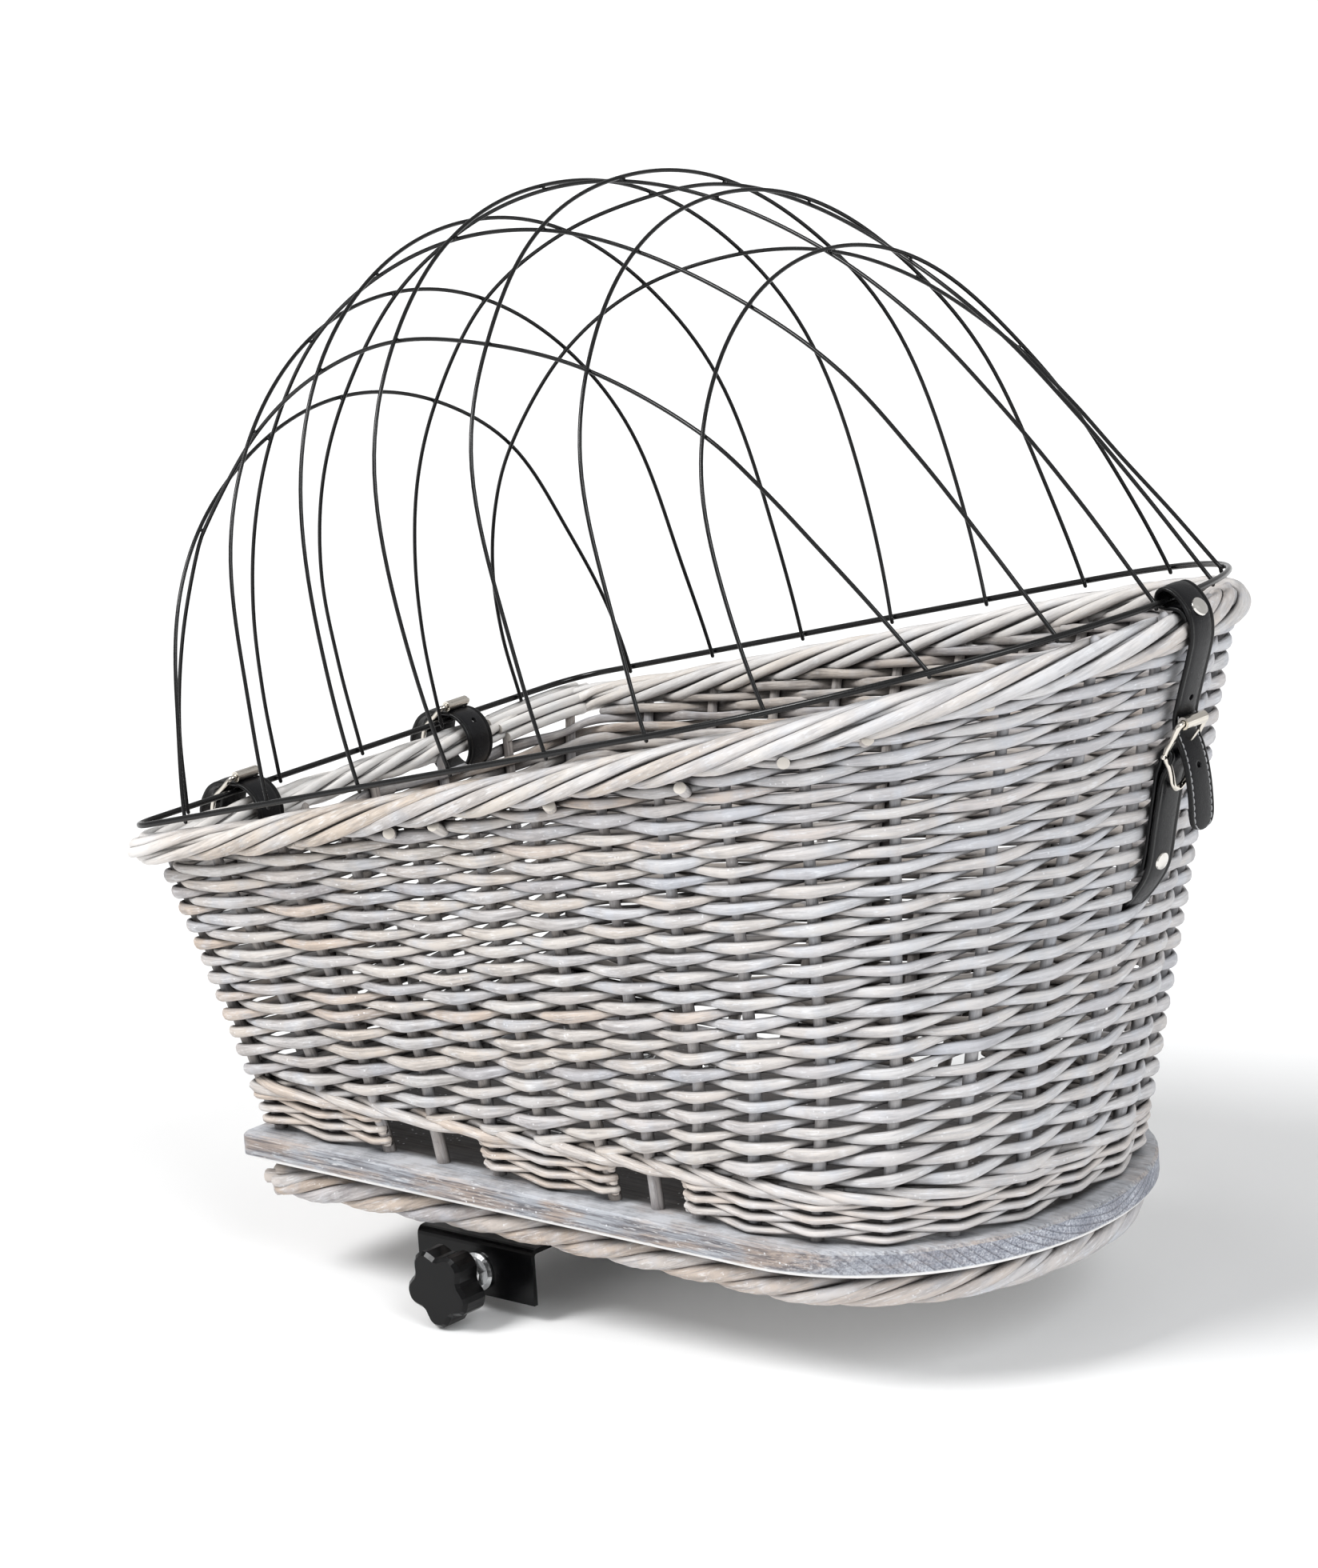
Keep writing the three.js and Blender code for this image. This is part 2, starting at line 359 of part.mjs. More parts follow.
function spline(xs, ys) { // natural cubic through (xs, ys)
  const n = xs.length, a = [...ys], b = [], d = [], h = [], al = [], c = Array(n).fill(0), l = Array(n).fill(1), mu = Array(n).fill(0), z = Array(n).fill(0);
  for (let i = 0; i < n - 1; i++) h[i] = xs[i + 1] - xs[i];
  for (let i = 1; i < n - 1; i++) al[i] = (3 / h[i]) * (a[i + 1] - a[i]) - (3 / h[i - 1]) * (a[i] - a[i - 1]);
  for (let i = 1; i < n - 1; i++) {
    l[i] = 2 * (xs[i + 1] - xs[i - 1]) - h[i - 1] * mu[i - 1];
    mu[i] = h[i] / l[i];
    z[i] = (al[i] - h[i - 1] * z[i - 1]) / l[i];
  }
  for (let j = n - 2; j >= 0; j--) {
    c[j] = z[j] - mu[j] * c[j + 1];
    b[j] = (a[j + 1] - a[j]) / h[j] - (h[j] * (c[j + 1] + 2 * c[j])) / 3;
    d[j] = (c[j + 1] - c[j]) / (3 * h[j]);
  }
  return (x) => {
    let i = 0;
    while (i < n - 2 && x > xs[i + 1]) i++;
    const t = x - xs[i];
    return a[i] + b[i] * t + c[i] * t * t + d[i] * t ** 3;
  };
}
const hoops = T_HOOPS.map((h) => {
  const x = 10 * (h.x + 6.65), foot = inside(x, -ringY(x)), w = -foot.y;
  const base = V(foot.x, 0, foot.z), apex = V(10 * (h.ax + 6.65), 0, 10 * (h.az + 26.1));
  const r = spline([0, ...T_ANGLES, 180], [1, ...h.r, 1]);
  const at = (deg) => {
    const a = (deg * Math.PI) / 180, k = r(deg);
    const p = base.clone().lerp(apex, k * Math.sin(a));
    p.y = -k * Math.cos(a) * w;
    return p;
  };
  return { at, axis: apex.clone().sub(base).normalize() };
});
hoops.forEach((h, i) => {
  const edges = [0, ...MEET[i], 180], counts = [8, 4, 3, 3, 4, 8], pts = [];
  edges.slice(0, -1).forEach((a, k) => {
    for (let j = 0; j < counts[k]; j++) pts.push(h.at(a + ((edges[k + 1] - a) * j) / counts[k]));
  });
  pts.push(h.at(180));
  const up = h.axis;
  pts.unshift(pts[0].clone().addScaledVector(up, -FOOT_DOWN));
  pts.push(pts[pts.length - 1].clone().addScaledVector(up, -FOOT_DOWN));
  add(`cross_hoop_${i + 1}`, rod(pts, WIRE_R, 6, false, V(1, 0, 0.25).normalize()), "wire");
});
L_HOOPS.forEach((spec, k) => {
  const crossings = hoops.map((h, i) => {
    const d = MEET[i][k];
    return { p: h.at(d), t: h.at(d + 1).sub(h.at(d - 1)).normalize() };
  });
  const under = crossings.map((c, i) => {
    const a = crossings[Math.max(0, i - 1)].p, b = crossings[Math.min(6, i + 1)].p;
    const n = c.t.clone().cross(b.clone().sub(a).normalize()).normalize();
    if (n.dot(V(80, 0, 280).sub(c.p)) < 0) n.negate();
    return c.p.clone().addScaledVector(n, CROSS);
  });
  const ya = 10 * spec.y0, yb = 10 * spec.y1, f = inside(ringFrontX(ya), ya), r = inside(ringRearX(yb), yb);
  const front = spec.front.map((q) => M(...q)), rear = spec.rear.map((q) => M(...q));
  const normal = V(-RING.slope, 0, 1).normalize();
  const ctrl = [f, ...front, ...under, ...rear, r];
  const curve = new THREE.CatmullRomCurve3(ctrl, false, "centripetal");
  const pts = [];
  for (let i = 0; i < ctrl.length - 1; i++) {
    const steps = Math.max(3, Math.round(ctrl[i].distanceTo(ctrl[i + 1]) / 17));
    for (let j = 0; j < steps; j++) pts.push(curve.getPoint((i + j / steps) / (ctrl.length - 1)));
  }
  pts.push(r.clone());
  pts.unshift(f.clone().addScaledVector(normal, -FOOT_DOWN));
  pts.push(r.clone().addScaledVector(normal, -FOOT_DOWN));
  add(`long_hoop_${k + 1}`, rod(pts, WIRE_R, 6, false, V(0, 1, 0)), "wire");
});

// ---------------------------------------------------------------- straps and buckles
// A strap: centre line in X and Z, width along Y about y0, tapering to a round tip over the last tipLength mm.
function strap(line, y0, halfWidth, tip = 0) {
  const ctrl = line.map(([x, z]) => V(x, 0, z)), curve = new THREE.CatmullRomCurve3(ctrl, false, "centripetal"), pts = [];
  for (let i = 0; i < ctrl.length - 1; i++) {
    const steps = tip && i > ctrl.length - 3 ? 4 : Math.ceil(ctrl[i].distanceTo(ctrl[i + 1]) / 5.2);
    for (let j = 0; j < steps; j++) pts.push(curve.getPoint((i + j / steps) / (ctrl.length - 1)));
  }
  pts.push(ctrl[ctrl.length - 1].clone());
  const total = pts.reduce((s, p, i) => s + (i ? p.distanceTo(pts[i - 1]) : 0), 0);
  let run = 0;
  const sections = pts.map((p, i) => {
    if (i) run += p.distanceTo(pts[i - 1]);
    const a = pts[Math.max(0, i - 1)], b = pts[Math.min(pts.length - 1, i + 1)], t = b.clone().sub(a).normalize(), n = V(-t.z, 0, t.x);
    const left = total - run, k = tip && left < tip ? Math.sqrt(Math.max(0.04, 1 - ((tip - left) / tip) ** 2)) : 1, w = halfWidth * k, h = STRAP_T / 2;
    return [[1, w], [1, -w], [-1, -w], [-1, w]].map(([s, y]) => p.clone().addScaledVector(n, s * h).add(V(0, y0 + y, 0)));
  });
  return skin(sections);
}
const mix = (a, b, k) => [a[0] + (b[0] - a[0]) * k, a[1] + (b[1] - a[1]) * k];
// A buckle round a centre bar at bar, with its roller at roll and its rounded end at toe (X, Z), on y0.
function buckle(name, bar, roll, toe, y0, half, wire, rollR, bow, prongLine) {
  const d = Math.hypot(toe[0] - bar[0], toe[1] - bar[1]), out = [(bar[1] - toe[1]) / d, (toe[0] - bar[0]) / d];
  const arch = (k) => {
    const p = mix(bar, toe, k), b = bow * Math.sin(Math.PI * Math.min(1, k * 0.94));
    return [p[0] + out[0] * b, p[1] + out[1] * b];
  };
  const P = ([x, z], y) => V(x, y0 + y, z);
  const side = [];
  side.push(P(roll, half - 2.4), P(mix(roll, bar, 0.03), half - 0.9), P(mix(roll, bar, 0.12), half), P(mix(roll, bar, 0.5), half), P(bar, half), P(arch(0.35), half * 0.98), P(arch(0.66), half * 0.84), P(arch(0.88), half * 0.56), P(arch(0.98), half * 0.24));
  const mirror = side.map((p) => V(p.x, 2 * y0 - p.y, p.z)).reverse();
  const loop = [P(roll, 0), ...side, P(toe, 0), ...mirror];
  const frame = rod(loop, wire, 8, true, V(roll[1] - toe[1], 0, toe[0] - roll[0]).normalize());
  add(`${name}_frame`, join(frame, pin(wire * 0.9, P(bar, -half), P(bar, half), 10)), "nickel");
  const l = half - 3.1, tube = cut(pin(rollR, P(roll, -l), P(roll, l), 20), pin(wire + GAP, P(roll, -l - 1), P(roll, l + 1), 16));
  add(`${name}_roller`, tube, "nickel");
  const pts = smooth(prongLine.map(([x, z]) => V(x, y0, z)), 22);
  add(`${name}_prong`, rod(pts, 1.0, 6, false, V(0, 1, 0)), "nickel");
}
const hole = (x, z, nx, nz, y0, r, reach = 6) => pin(r, V(x - nx * reach, y0, z - nz * reach), V(x + nx * reach, y0, z + nz * reach), 12);
const arcLine = (cx, cz, r, a0, a1, n) => Array.from({ length: n }, (_, i) => {
  const a = ((a0 + ((a1 - a0) * i) / (n - 1)) * Math.PI) / 180;
  return [cx + r * Math.cos(a), cz + r * Math.sin(a)];
});

// Front straps: closed bands round ring and rim border, buckle on top, tail to the front.
for (const [side, y0] of [["right", -82], ["left", 74]]) {
  const bar = [-163.8, 203.4], roll = [-151.4, 214.4], toe = [-171.2, 188.8];
  const wrap = arcLine(bar[0], bar[1], 2.75, -20, 180, 9);
  const line = [
    [-165.9, 198.9], [-166.5, 200.8], ...wrap.slice().reverse().map((p) => p), [-161.9, 199.6],
    [-163.0, 194.5], [-162.9, 188.6], [-160.0, 182.4], [-154.2, 179.5], [-147.5, 179.6], [-141.4, 183.2], [-137.2, 188.9], [-135.9, 195],
    [-136.9, 200.8], [-140.3, 206.2], [-145.6, 209.6], [-151.6, 210.6], [-158, 210.4], [-164.4, 209.6], [-170.2, 206.4], [-174.4, 200.9], [-176.9, 194.6], [-178.2, 188.5],
  ];
  const half = 8.8;
  let s = man(strap(line, y0, half, 8));
  s = s.subtract(man(block(bar[0] - 5.5, bar[0] + 6.5, y0 - 2, y0 + 2, bar[1] - 6, bar[1] + 4.1)));
  s = s.subtract(man(block(-163.6, -156.8, y0 - 1.6, y0 + 1.6, 206.4, 213)));
  s = s.subtract(man(hole(-141.4, 204.9, 0.72, 0.69, y0, 1.5, 3)));
  s = s.subtract(man(hole(-172.4, 203.9, 0.75, 0.66, y0, 1.5, 3)));
  add(`front_strap_${side}`, geo(s), "leather");
  buckle(`front_buckle_${side}`, bar, roll, toe, y0, 10.4, 1.25, 2.6, 0,
    [[-162.3, 200.6], [-164.4, 200.2], [-166.4, 202.0], [-166.0, 204.6], [-163.6, 206.4], [-160.6, 208.6], [-158.6, 211.4], [-156.6, 214.6], [-154.2, 217.4], [-151.4, 218.9]]);
}
// Rear strap: the upper part is looped over the ring and riveted to itself, the lower part comes out of the weave.
{
  const y0 = 12, half = 9, bar = [352.8, 263.1], roll = [362.4, 279.2], toe = [351.7, 246.2];
  const upper = [
    [366.6, 327.2], [365.4, 329.9], [363.0, 331.9], [359.5, 332.3], [355.1, 332.1], [351.4, 333.2], [350.6, 336.4], [351.9, 339.4], [355.2, 340.9], [359.4, 339.8],
    [363.6, 336.6], [367.3, 331.6], [369.0, 325.6], [368.9, 318], [366.6, 309.3], [363.4, 299.5], [360.3, 289.7], [358.0, 281.2], [358.2, 273.5], [360.9, 266.6], [363.0, 259], [364.3, 250.5], [364.9, 240], [364.7, 228.4],
  ];
  let s = man(strap(upper, y0, half, 9));
  s = s.subtract(man(hole(367.2, 331.6, 0.8, 0.6, y0, 1.9, 4.2)));
  for (const [x, z, nx, nz] of [[361.1, 288.9 + 1, 0.95, -0.28], [363.2, 258.4, 0.99, 0.15]]) s = s.subtract(man(hole(x, z, nx, nz, y0, 1.4, 3)));
  s = s.subtract(man(block(356, 366, y0 - 2.2, y0 + 2.2, 266.6, 274.6)));
  add("rear_strap_upper", geo(s), "leather");
  add("rear_rivet_upper", turned([[0, 0], [1.5, 0], [1.5, 4.75], [4.6, 4.75], [4.3, 5.7], [2.4, 6.5], [0, 6.7]], V(367.2 - 0.8 * 3.4, y0, 331.6 - 0.6 * 3.4), V(0.8, 0, 0.6), 20), "nickel");
  const lower = [
    [337.7, 207.5], [339.9, 215.5], [342.6, 228], [344.6, 238], [346.4, 246.5], [348.0, 254], [349.7, 260.6], ...arcLine(bar[0], bar[1], 2.9, 165, -12, 8),
    [353.4, 258.4], [350.7, 254.2], [348.9, 249.6], [347.6, 244], [346.2, 238], [343.4, 225.5], [340.2, 210.8], [337.4, 204.0], [333.0, 197.6], [326.8, 190.4], [318.4, 182.7], [309.0, 174.8],
  ];
  const offset = [...lower.slice(0, 6).map(([x, z]) => [x - 1.0, z + 0.25]), ...lower.slice(6)];
  let t = man(strap(offset, y0, half));
  t = t.subtract(man(block(bar[0] - 6, bar[0] + 6.5, y0 - 2, y0 + 2, bar[1] - 6, bar[1] + 5)));
  t = t.subtract(man(hole(340.0, 210.6, 0.975, -0.22, y0, 1.9, 5.5)));
  add("rear_strap_lower", geo(t), "leather");
  add("rear_rivet_lower", turned([[0, 0], [1.5, 0], [1.5, 4.75], [4.4, 4.75], [4.1, 5.6], [2.4, 6.3], [0, 6.5]], V(340.0 - 0.975 * 3.4, y0, 210.6 + 0.22 * 3.4), V(0.975, 0, -0.22), 20), "nickel");
  buckle("rear_buckle", bar, roll, toe, y0, 10.9, 1.5, 3.0, 2.0,
    [[351.6, 260.0], [350.4, 261.4], [350.1, 264.2], [352.2, 266.0], [355.2, 266.2], [358.6, 268.0], [362.0, 271.6], [365.2, 275.6], [366.8, 279.6], [366.9, 281.6]]);
}

export default object;
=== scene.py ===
import bpy
import math
import random
import numpy as np
from mathutils import Matrix, Vector


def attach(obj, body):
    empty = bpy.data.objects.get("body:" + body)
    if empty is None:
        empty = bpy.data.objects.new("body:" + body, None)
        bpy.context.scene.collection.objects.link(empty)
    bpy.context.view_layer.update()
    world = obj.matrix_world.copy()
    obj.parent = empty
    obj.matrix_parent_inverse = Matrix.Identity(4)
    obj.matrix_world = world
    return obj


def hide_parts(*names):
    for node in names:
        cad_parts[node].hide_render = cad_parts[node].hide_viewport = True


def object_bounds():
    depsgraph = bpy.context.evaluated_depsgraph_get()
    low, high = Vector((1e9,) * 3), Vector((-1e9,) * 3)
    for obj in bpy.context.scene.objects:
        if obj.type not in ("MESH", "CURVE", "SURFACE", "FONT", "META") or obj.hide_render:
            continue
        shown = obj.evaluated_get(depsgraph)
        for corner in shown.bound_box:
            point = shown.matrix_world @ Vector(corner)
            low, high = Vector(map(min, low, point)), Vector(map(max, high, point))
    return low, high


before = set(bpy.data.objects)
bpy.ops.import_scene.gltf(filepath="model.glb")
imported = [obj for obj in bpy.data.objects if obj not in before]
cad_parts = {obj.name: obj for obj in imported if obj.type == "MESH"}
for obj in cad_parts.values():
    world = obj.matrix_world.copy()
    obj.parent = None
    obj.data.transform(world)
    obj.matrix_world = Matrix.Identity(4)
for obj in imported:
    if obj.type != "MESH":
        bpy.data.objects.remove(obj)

CAD_BOX = [[float(a) for a in c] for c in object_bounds()]
RNG = np.random.default_rng(11)
PI = math.pi

# ------------------------------------------------------------------ dimensions (mm, the part's own frame)
BOARD = dict(front=-132.5, w=126.0, xs=194.9, rear=110.6, c=5.0, exp=2.08)
RING = dict(front=-152.5, w=168.5, xs=186.5, rear=169.0, c=21.0, exp=2.0)
RING_SLOPE, RING_Z0 = 0.253, 245.4
TOP_SLOPE, TOP_Z0 = 0.256, 244.3
WALL_B = dict(front=-125.5, w=118.0, xs=190.0, rear=105.0, c=4.0, exp=2.42)
WALL_T = dict(front=-149.0, w=168.0, xs=186.5, rear=174.0, c=32.0, exp=2.0)
RIM = dict(front=-150.3, w=166.0, xs=186.5, rear=170.0, c=17.0, exp=2.0)
FOOT = dict(front=-121.0, w=110.0, xs=190.0, rear=97.5, c=8.0, exp=2.2)
GAPS = [(-42.2, 24.4), (104.7, 150.2)]


def smoothstep(x, a, b):
    t = np.clip((np.asarray(x, float) - a) / (b - a), 0, 1)
    return t * t * (3 - 2 * t)


def forward(x):
    return smoothstep(-np.asarray(x, float), 60, 145)


# ------------------------------------------------------------------ outlines
class Outline:
    """A U-shaped outline seen from above. U runs 0..1 along the near side from front centre to rear centre, 1..2 back along the far side."""

    def __init__(self, front, w, xs, rear, c, exp):
        pts = [(front, -(w - c) * i / 60) for i in range(60)]
        for i in range(24):
            t = PI / 2 * i / 24
            pts.append((front + c - c * math.cos(t), -(w - c) - c * math.sin(t)))
        for i in range(160):
            pts.append((front + c + (xs - front - c) * i / 160, -w))
        for i in range(181):
            t = PI / 2 * i / 180
            pts.append((xs + rear * math.sin(t) ** (2 / exp), 0 if i == 180 else -w * math.cos(t) ** (2 / exp)))
        p = np.array(pts, float)
        # resample the outline evenly along its length
        s = np.concatenate([[0], np.cumsum(np.hypot(*np.diff(p, axis=0).T))])
        self.length = s[-1]
        even = np.linspace(0, s[-1], 900)
        self.x = np.interp(even, s, p[:, 0])
        self.y = np.interp(even, s, p[:, 1])
        self.s = even / s[-1]

    def at(self, U):
        U = np.mod(np.asarray(U, float), 2.0)
        u = np.where(U > 1, 2 - U, U)
        sign = np.where(U > 1, -1.0, 1.0)
        return np.stack([np.interp(u, self.s, self.x), sign * np.interp(u, self.s, self.y)], -1)

    def u_at_x(self, x):
        """U on the near side at that x."""
        return float(np.interp(x, self.x[np.argmax(self.x > -140):], self.s[np.argmax(self.x > -140):]))


def norm(a):
    return a / np.maximum(np.linalg.norm(a, axis=-1, keepdims=True), 1e-12)


B_OUT, T_OUT = Outline(**WALL_B), Outline(**WALL_T)
Z_BASE = 42.5


def wall_point(U, v):
    b, t = B_OUT.at(U), T_OUT.at(U)
    v = np.asarray(v, float)
    xy = b + (t - b) * v[..., None]
    zt = TOP_SLOPE * t[..., 0] + 219.1
    return np.concatenate([xy, (Z_BASE + (zt - Z_BASE) * v)[..., None]], -1)


def wall_normal(U, v):
    e = 0.004
    a = wall_point(U + e, v) - wall_point(U - e, v)
    c = wall_point(U, v + 0.02) - wall_point(U, v - 0.02)
    n = norm(np.cross(a, c))
    p = wall_point(U, v)
    out = p - np.array([90.0, 0, 0])
    s = np.sign(n[..., 0] * out[..., 0] + n[..., 1] * out[..., 1])
    return n * s[..., None]


# stake places: share of the outline's half length at three heights
STAKES = np.array([
    (0, 0, 0), (.0667, .0667, .0667), (.1333, .1333, .1333), (.1996, .1996, .1996), (.262, .2797, .275), (.320, .334, .334),
    (.3785, .3941, .39), (.439, .4525, .445), (.4989, .4997, .4975), (.5594, .5523, .5504), (.603, .6055, .6043), (.6443, .66, .6514),
    (.70, .7106, .701), (.76, .7668, .7544), (.82, .8219, .8117), (.878, .8785, .88), (.94, .9325, .94), (1, 1, 1)])
STAKE_V = np.array([0.0, 0.31, 0.9])
N_ST = 34
_full = np.vstack([STAKES, 2 - STAKES[16:0:-1]])          # 0..33
_full = np.vstack([_full, _full[:1] + 2])                 # 34 closes the round


def stake_u(s, v):
    """U of stake coordinate s at height v, both arrays."""
    s = np.asarray(s, float)
    k = np.floor(s).astype(int)
    f = s - k
    turn = np.floor_divide(k, N_ST)
    k = k - turn * N_ST
    v = np.clip(np.asarray(v, float), 0, 1.05)
    w = np.clip(np.where(v < STAKE_V[1], v / STAKE_V[1], (v - STAKE_V[1]) / (STAKE_V[2] - STAKE_V[1])), 0, 1)
    lo = np.where(v < STAKE_V[1], 0, 1)
    at = lambda kk: _full[kk, lo] * (1 - w) + _full[kk, lo + 1] * w
    return at(k) * (1 - f) + at(k + 1) * f + 2 * turn


# ------------------------------------------------------------------ mesh building
class Build:
    def __init__(self):
        self.v, self.q, self.t, self.a, self.n = [], [], [], [], 0

    def add(self, verts, quads=None, tris=None, att=None):
        """att: (n, 6) rod, tone, along (m), around (0..1), cut, inner"""
        self.v.append(verts)
        if quads is not None and len(quads):
            self.q.append(quads + self.n)
        if tris is not None and len(tris):
            self.t.append(tris + self.n)
        self.a.append(np.zeros((len(verts), 6)) if att is None else att)
        self.n += len(verts)

    def sweep(self, pts, n1, n2, ra, rb, sides=8, closed=False, rod=0.5, tone=0.5, caps=("round", "round"), start=0.0, power=1.0, cut=0.0, inner=None):
        """Tube along pts (m,3); n1, n2 (m,3) section axes; ra, rb semi-axes."""
        pts = np.asarray(pts, float)
        m = len(pts)
        ra = np.broadcast_to(np.asarray(ra, float), (m,)).copy()
        rb = np.broadcast_to(np.asarray(rb, float), (m,)).copy()
        rod_a, tone_a = np.broadcast_to(rod, (m,)).astype(float), np.broadcast_to(tone, (m,)).astype(float)
        seg = np.linalg.norm(np.diff(pts, axis=0), axis=1)
        along = np.concatenate([[0], np.cumsum(seg)]) + start
        if not closed:
            # rounded ends: a few extra sections
            for side in (0, 1):
                if caps[side] != "round":
                    continue
                i, j = (0, 1) if side == 0 else (m - 1, m - 2)
                d = norm(pts[i] - pts[j])
                r = 0.5 * (ra[i] + rb[i])
                ks = [0.5, 0.87, 0.98]
                extra = [(pts[i] + d * r * k, math.sqrt(1 - k * k)) for k in ks]
                P = np.array([e[0] for e in extra]); S = np.array([e[1] for e in extra])
                rows = dict(n1=np.repeat(n1[i:i + 1], 3, 0), n2=np.repeat(n2[i:i + 1], 3, 0), ra=ra[i] * S, rb=rb[i] * S,
                            rod=np.repeat(rod_a[i], 3), tone=np.repeat(tone_a[i], 3), al=np.repeat(along[i], 3))
                if side == 0:
                    pts = np.vstack([P[::-1], pts]); n1 = np.vstack([rows["n1"], n1]); n2 = np.vstack([rows["n2"], n2])
                    ra = np.concatenate([rows["ra"][::-1], ra]); rb = np.concatenate([rows["rb"][::-1], rb])
                    rod_a = np.concatenate([rows["rod"], rod_a]); tone_a = np.concatenate([rows["tone"], tone_a]); along = np.concatenate([rows["al"], along])
                else:
                    pts = np.vstack([pts, P]); n1 = np.vstack([n1, rows["n1"]]); n2 = np.vstack([n2, rows["n2"]])
                    ra = np.concatenate([ra, rows["ra"]]); rb = np.concatenate([rb, rows["rb"]])
                    rod_a = np.concatenate([rod_a, rows["rod"]]); tone_a = np.concatenate([tone_a, rows["tone"]]); along = np.concatenate([along, rows["al"]])
                m = len(pts)
        w = 2 * PI * np.arange(sides) / sides
        c, s = np.cos(w), np.sin(w)
        if power != 1.0:
            c, s = np.sign(c) * np.abs(c) ** power, np.sign(s) * np.abs(s) ** power
        V = pts[:, None, :] + n1[:, None, :] * (ra[:, None, None] * c[None, :, None]) + n2[:, None, :] * (rb[:, None, None] * s[None, :, None])
        V = V.reshape(-1, 3)
        i = np.arange(m if closed else m - 1)
        j = np.arange(sides)
        a = (i[:, None] * sides + j[None]).ravel()
        b = (i[:, None] * sides + (j[None] + 1) % sides).ravel()
        i2 = (i + 1) % m
        d = (i2[:, None] * sides + j[None]).ravel()
        e = (i2[:, None] * sides + (j[None] + 1) % sides).ravel()
        Q = np.stack([a, d, e, b], -1)
        # outward orientation
        t = pts[min(1, m - 1)] - pts[0]
        if np.dot(np.cross(n1[0], n2[0]), t) > 0:
            Q = Q[:, ::-1]
        flip = np.dot(np.cross(n1[0], n2[0]), t) > 0
        att = np.zeros((len(V), 6))
        if inner is not None:
            # share of the surface that faces the inside of the basket
            nv = norm(V - np.repeat(pts, sides, 0))
            att[:, 5] = np.clip(-np.sum(nv * norm(inner(V)), axis=1), -1, 1)
        att[:, 0] = np.repeat(rod_a, sides); att[:, 1] = np.repeat(tone_a, sides); att[:, 2] = np.repeat(along, sides) * 0.001
        att[:, 3] = np.tile(0.5 - 0.5 * np.cos(w), m)   # symmetric, so that no seam shows
        att[:, 4] = cut
        T = []
        if not closed:
            for side in (0, 1):
                base = 0 if side == 0 else (m - 1) * sides
                ring = V[base:base + sides]
                if caps[side] == "flat":
                    # separate ring for a crisp cut face
                    k = len(V)
                    V = np.vstack([V, ring, ring.mean(0, keepdims=True)])
                    ca = att[base:base + sides].copy(); ca[:, 4] = 1; cc = ca[:1].copy()
                    att = np.vstack([att, ca, cc])
                    idx = k + np.arange(sides); centre = k + sides
                else:
                    k = len(V)
                    V = np.vstack([V, ring.mean(0, keepdims=True)])
                    att = np.vstack([att, att[base:base + 1]])
                    idx = base + np.arange(sides); centre = k
                nx = np.roll(idx, -1)
                tri = np.stack([idx, nx, np.full(sides, centre)], -1)
                if side == 1:
                    tri = tri[:, ::-1]
                if flip:
                    tri = tri[:, ::-1]
                T.append(tri)
        self.add(V, Q, np.vstack(T) if T else None, att)

    def make(self, name, mat, body, slot=None, smooth=True, replaces=()):
        V = np.concatenate(self.v) * 0.001
        A = np.concatenate(self.a)
        Q = np.concatenate(self.q) if self.q else np.zeros((0, 4), int)
        T = np.concatenate(self.t) if self.t else np.zeros((0, 3), int)
        me = bpy.data.meshes.new(name)
        me.vertices.add(len(V)); me.vertices.foreach_set("co", V.astype(np.float32).ravel())
        loops = np.concatenate([Q.ravel(), T.ravel()]).astype(np.int32)
        me.loops.add(len(loops)); me.loops.foreach_set("vertex_index", loops)
        starts = np.concatenate([np.arange(len(Q)) * 4, len(Q) * 4 + np.arange(len(T)) * 3]).astype(np.int32)
        me.polygons.add(len(starts)); me.polygons.foreach_set("loop_start", starts)
        me.polygons.foreach_set("use_smooth", np.full(len(starts), smooth))
        me.update(calc_edges=True)
        me.validate()
        for k, key in enumerate(("rod", "tone", "along", "around", "cut", "inner")):
            at = me.attributes.new(key, "FLOAT", "POINT")
            at.data.foreach_set("value", A[:, k].astype(np.float32))
        ob = bpy.data.objects.new(name, me)
        bpy.context.scene.collection.objects.link(ob)
        me.materials.append(mat)
        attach(ob, body)
        if replaces:
            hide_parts(*replaces)
        return ob


def parallel(pts, hint):
    """Section axes along a curve from a hint direction (3,) or (m,3)."""
    t = np.gradient(pts, axis=0)
    t = norm(t)
    h = np.broadcast_to(np.asarray(hint, float), pts.shape)
    side = norm(np.cross(t, h))
    up = norm(np.cross(side, t))
    return side, up


def outward(V):
    """direction away from the basket's long middle line, level"""
    c = np.stack([np.clip(V[:, 0], -60, 190), np.zeros(len(V))], -1)
    d = V[:, :2] - c
    return np.concatenate([d, np.zeros((len(V), 1))], 1)


def noise1(n, rng, smooth=6):
    x = rng.normal(size=n + 4 * smooth)
    k = np.hanning(2 * smooth + 1); k /= k.sum()
    return np.convolve(x, k, "same")[2 * smooth:2 * smooth + n] * math.sqrt(smooth)


# ------------------------------------------------------------------ materials
def material(name):
    m = bpy.data.materials.new(name)
    m.use_nodes = True
    nt = m.node_tree
    for n in list(nt.nodes):
        nt.nodes.remove(n)
    out = nt.nodes.new("ShaderNodeOutputMaterial")
    b = nt.nodes.new("ShaderNodeBsdfPrincipled")
    nt.links.new(b.outputs[0], out.inputs[0])
    return m, nt, b


def srgb(r, g, b):
    f = lambda c: (c / 255 / 12.92) if c / 255 <= 0.04045 else ((c / 255 + 0.055) / 1.055) ** 2.4
    return (f(r), f(g), f(b), 1)


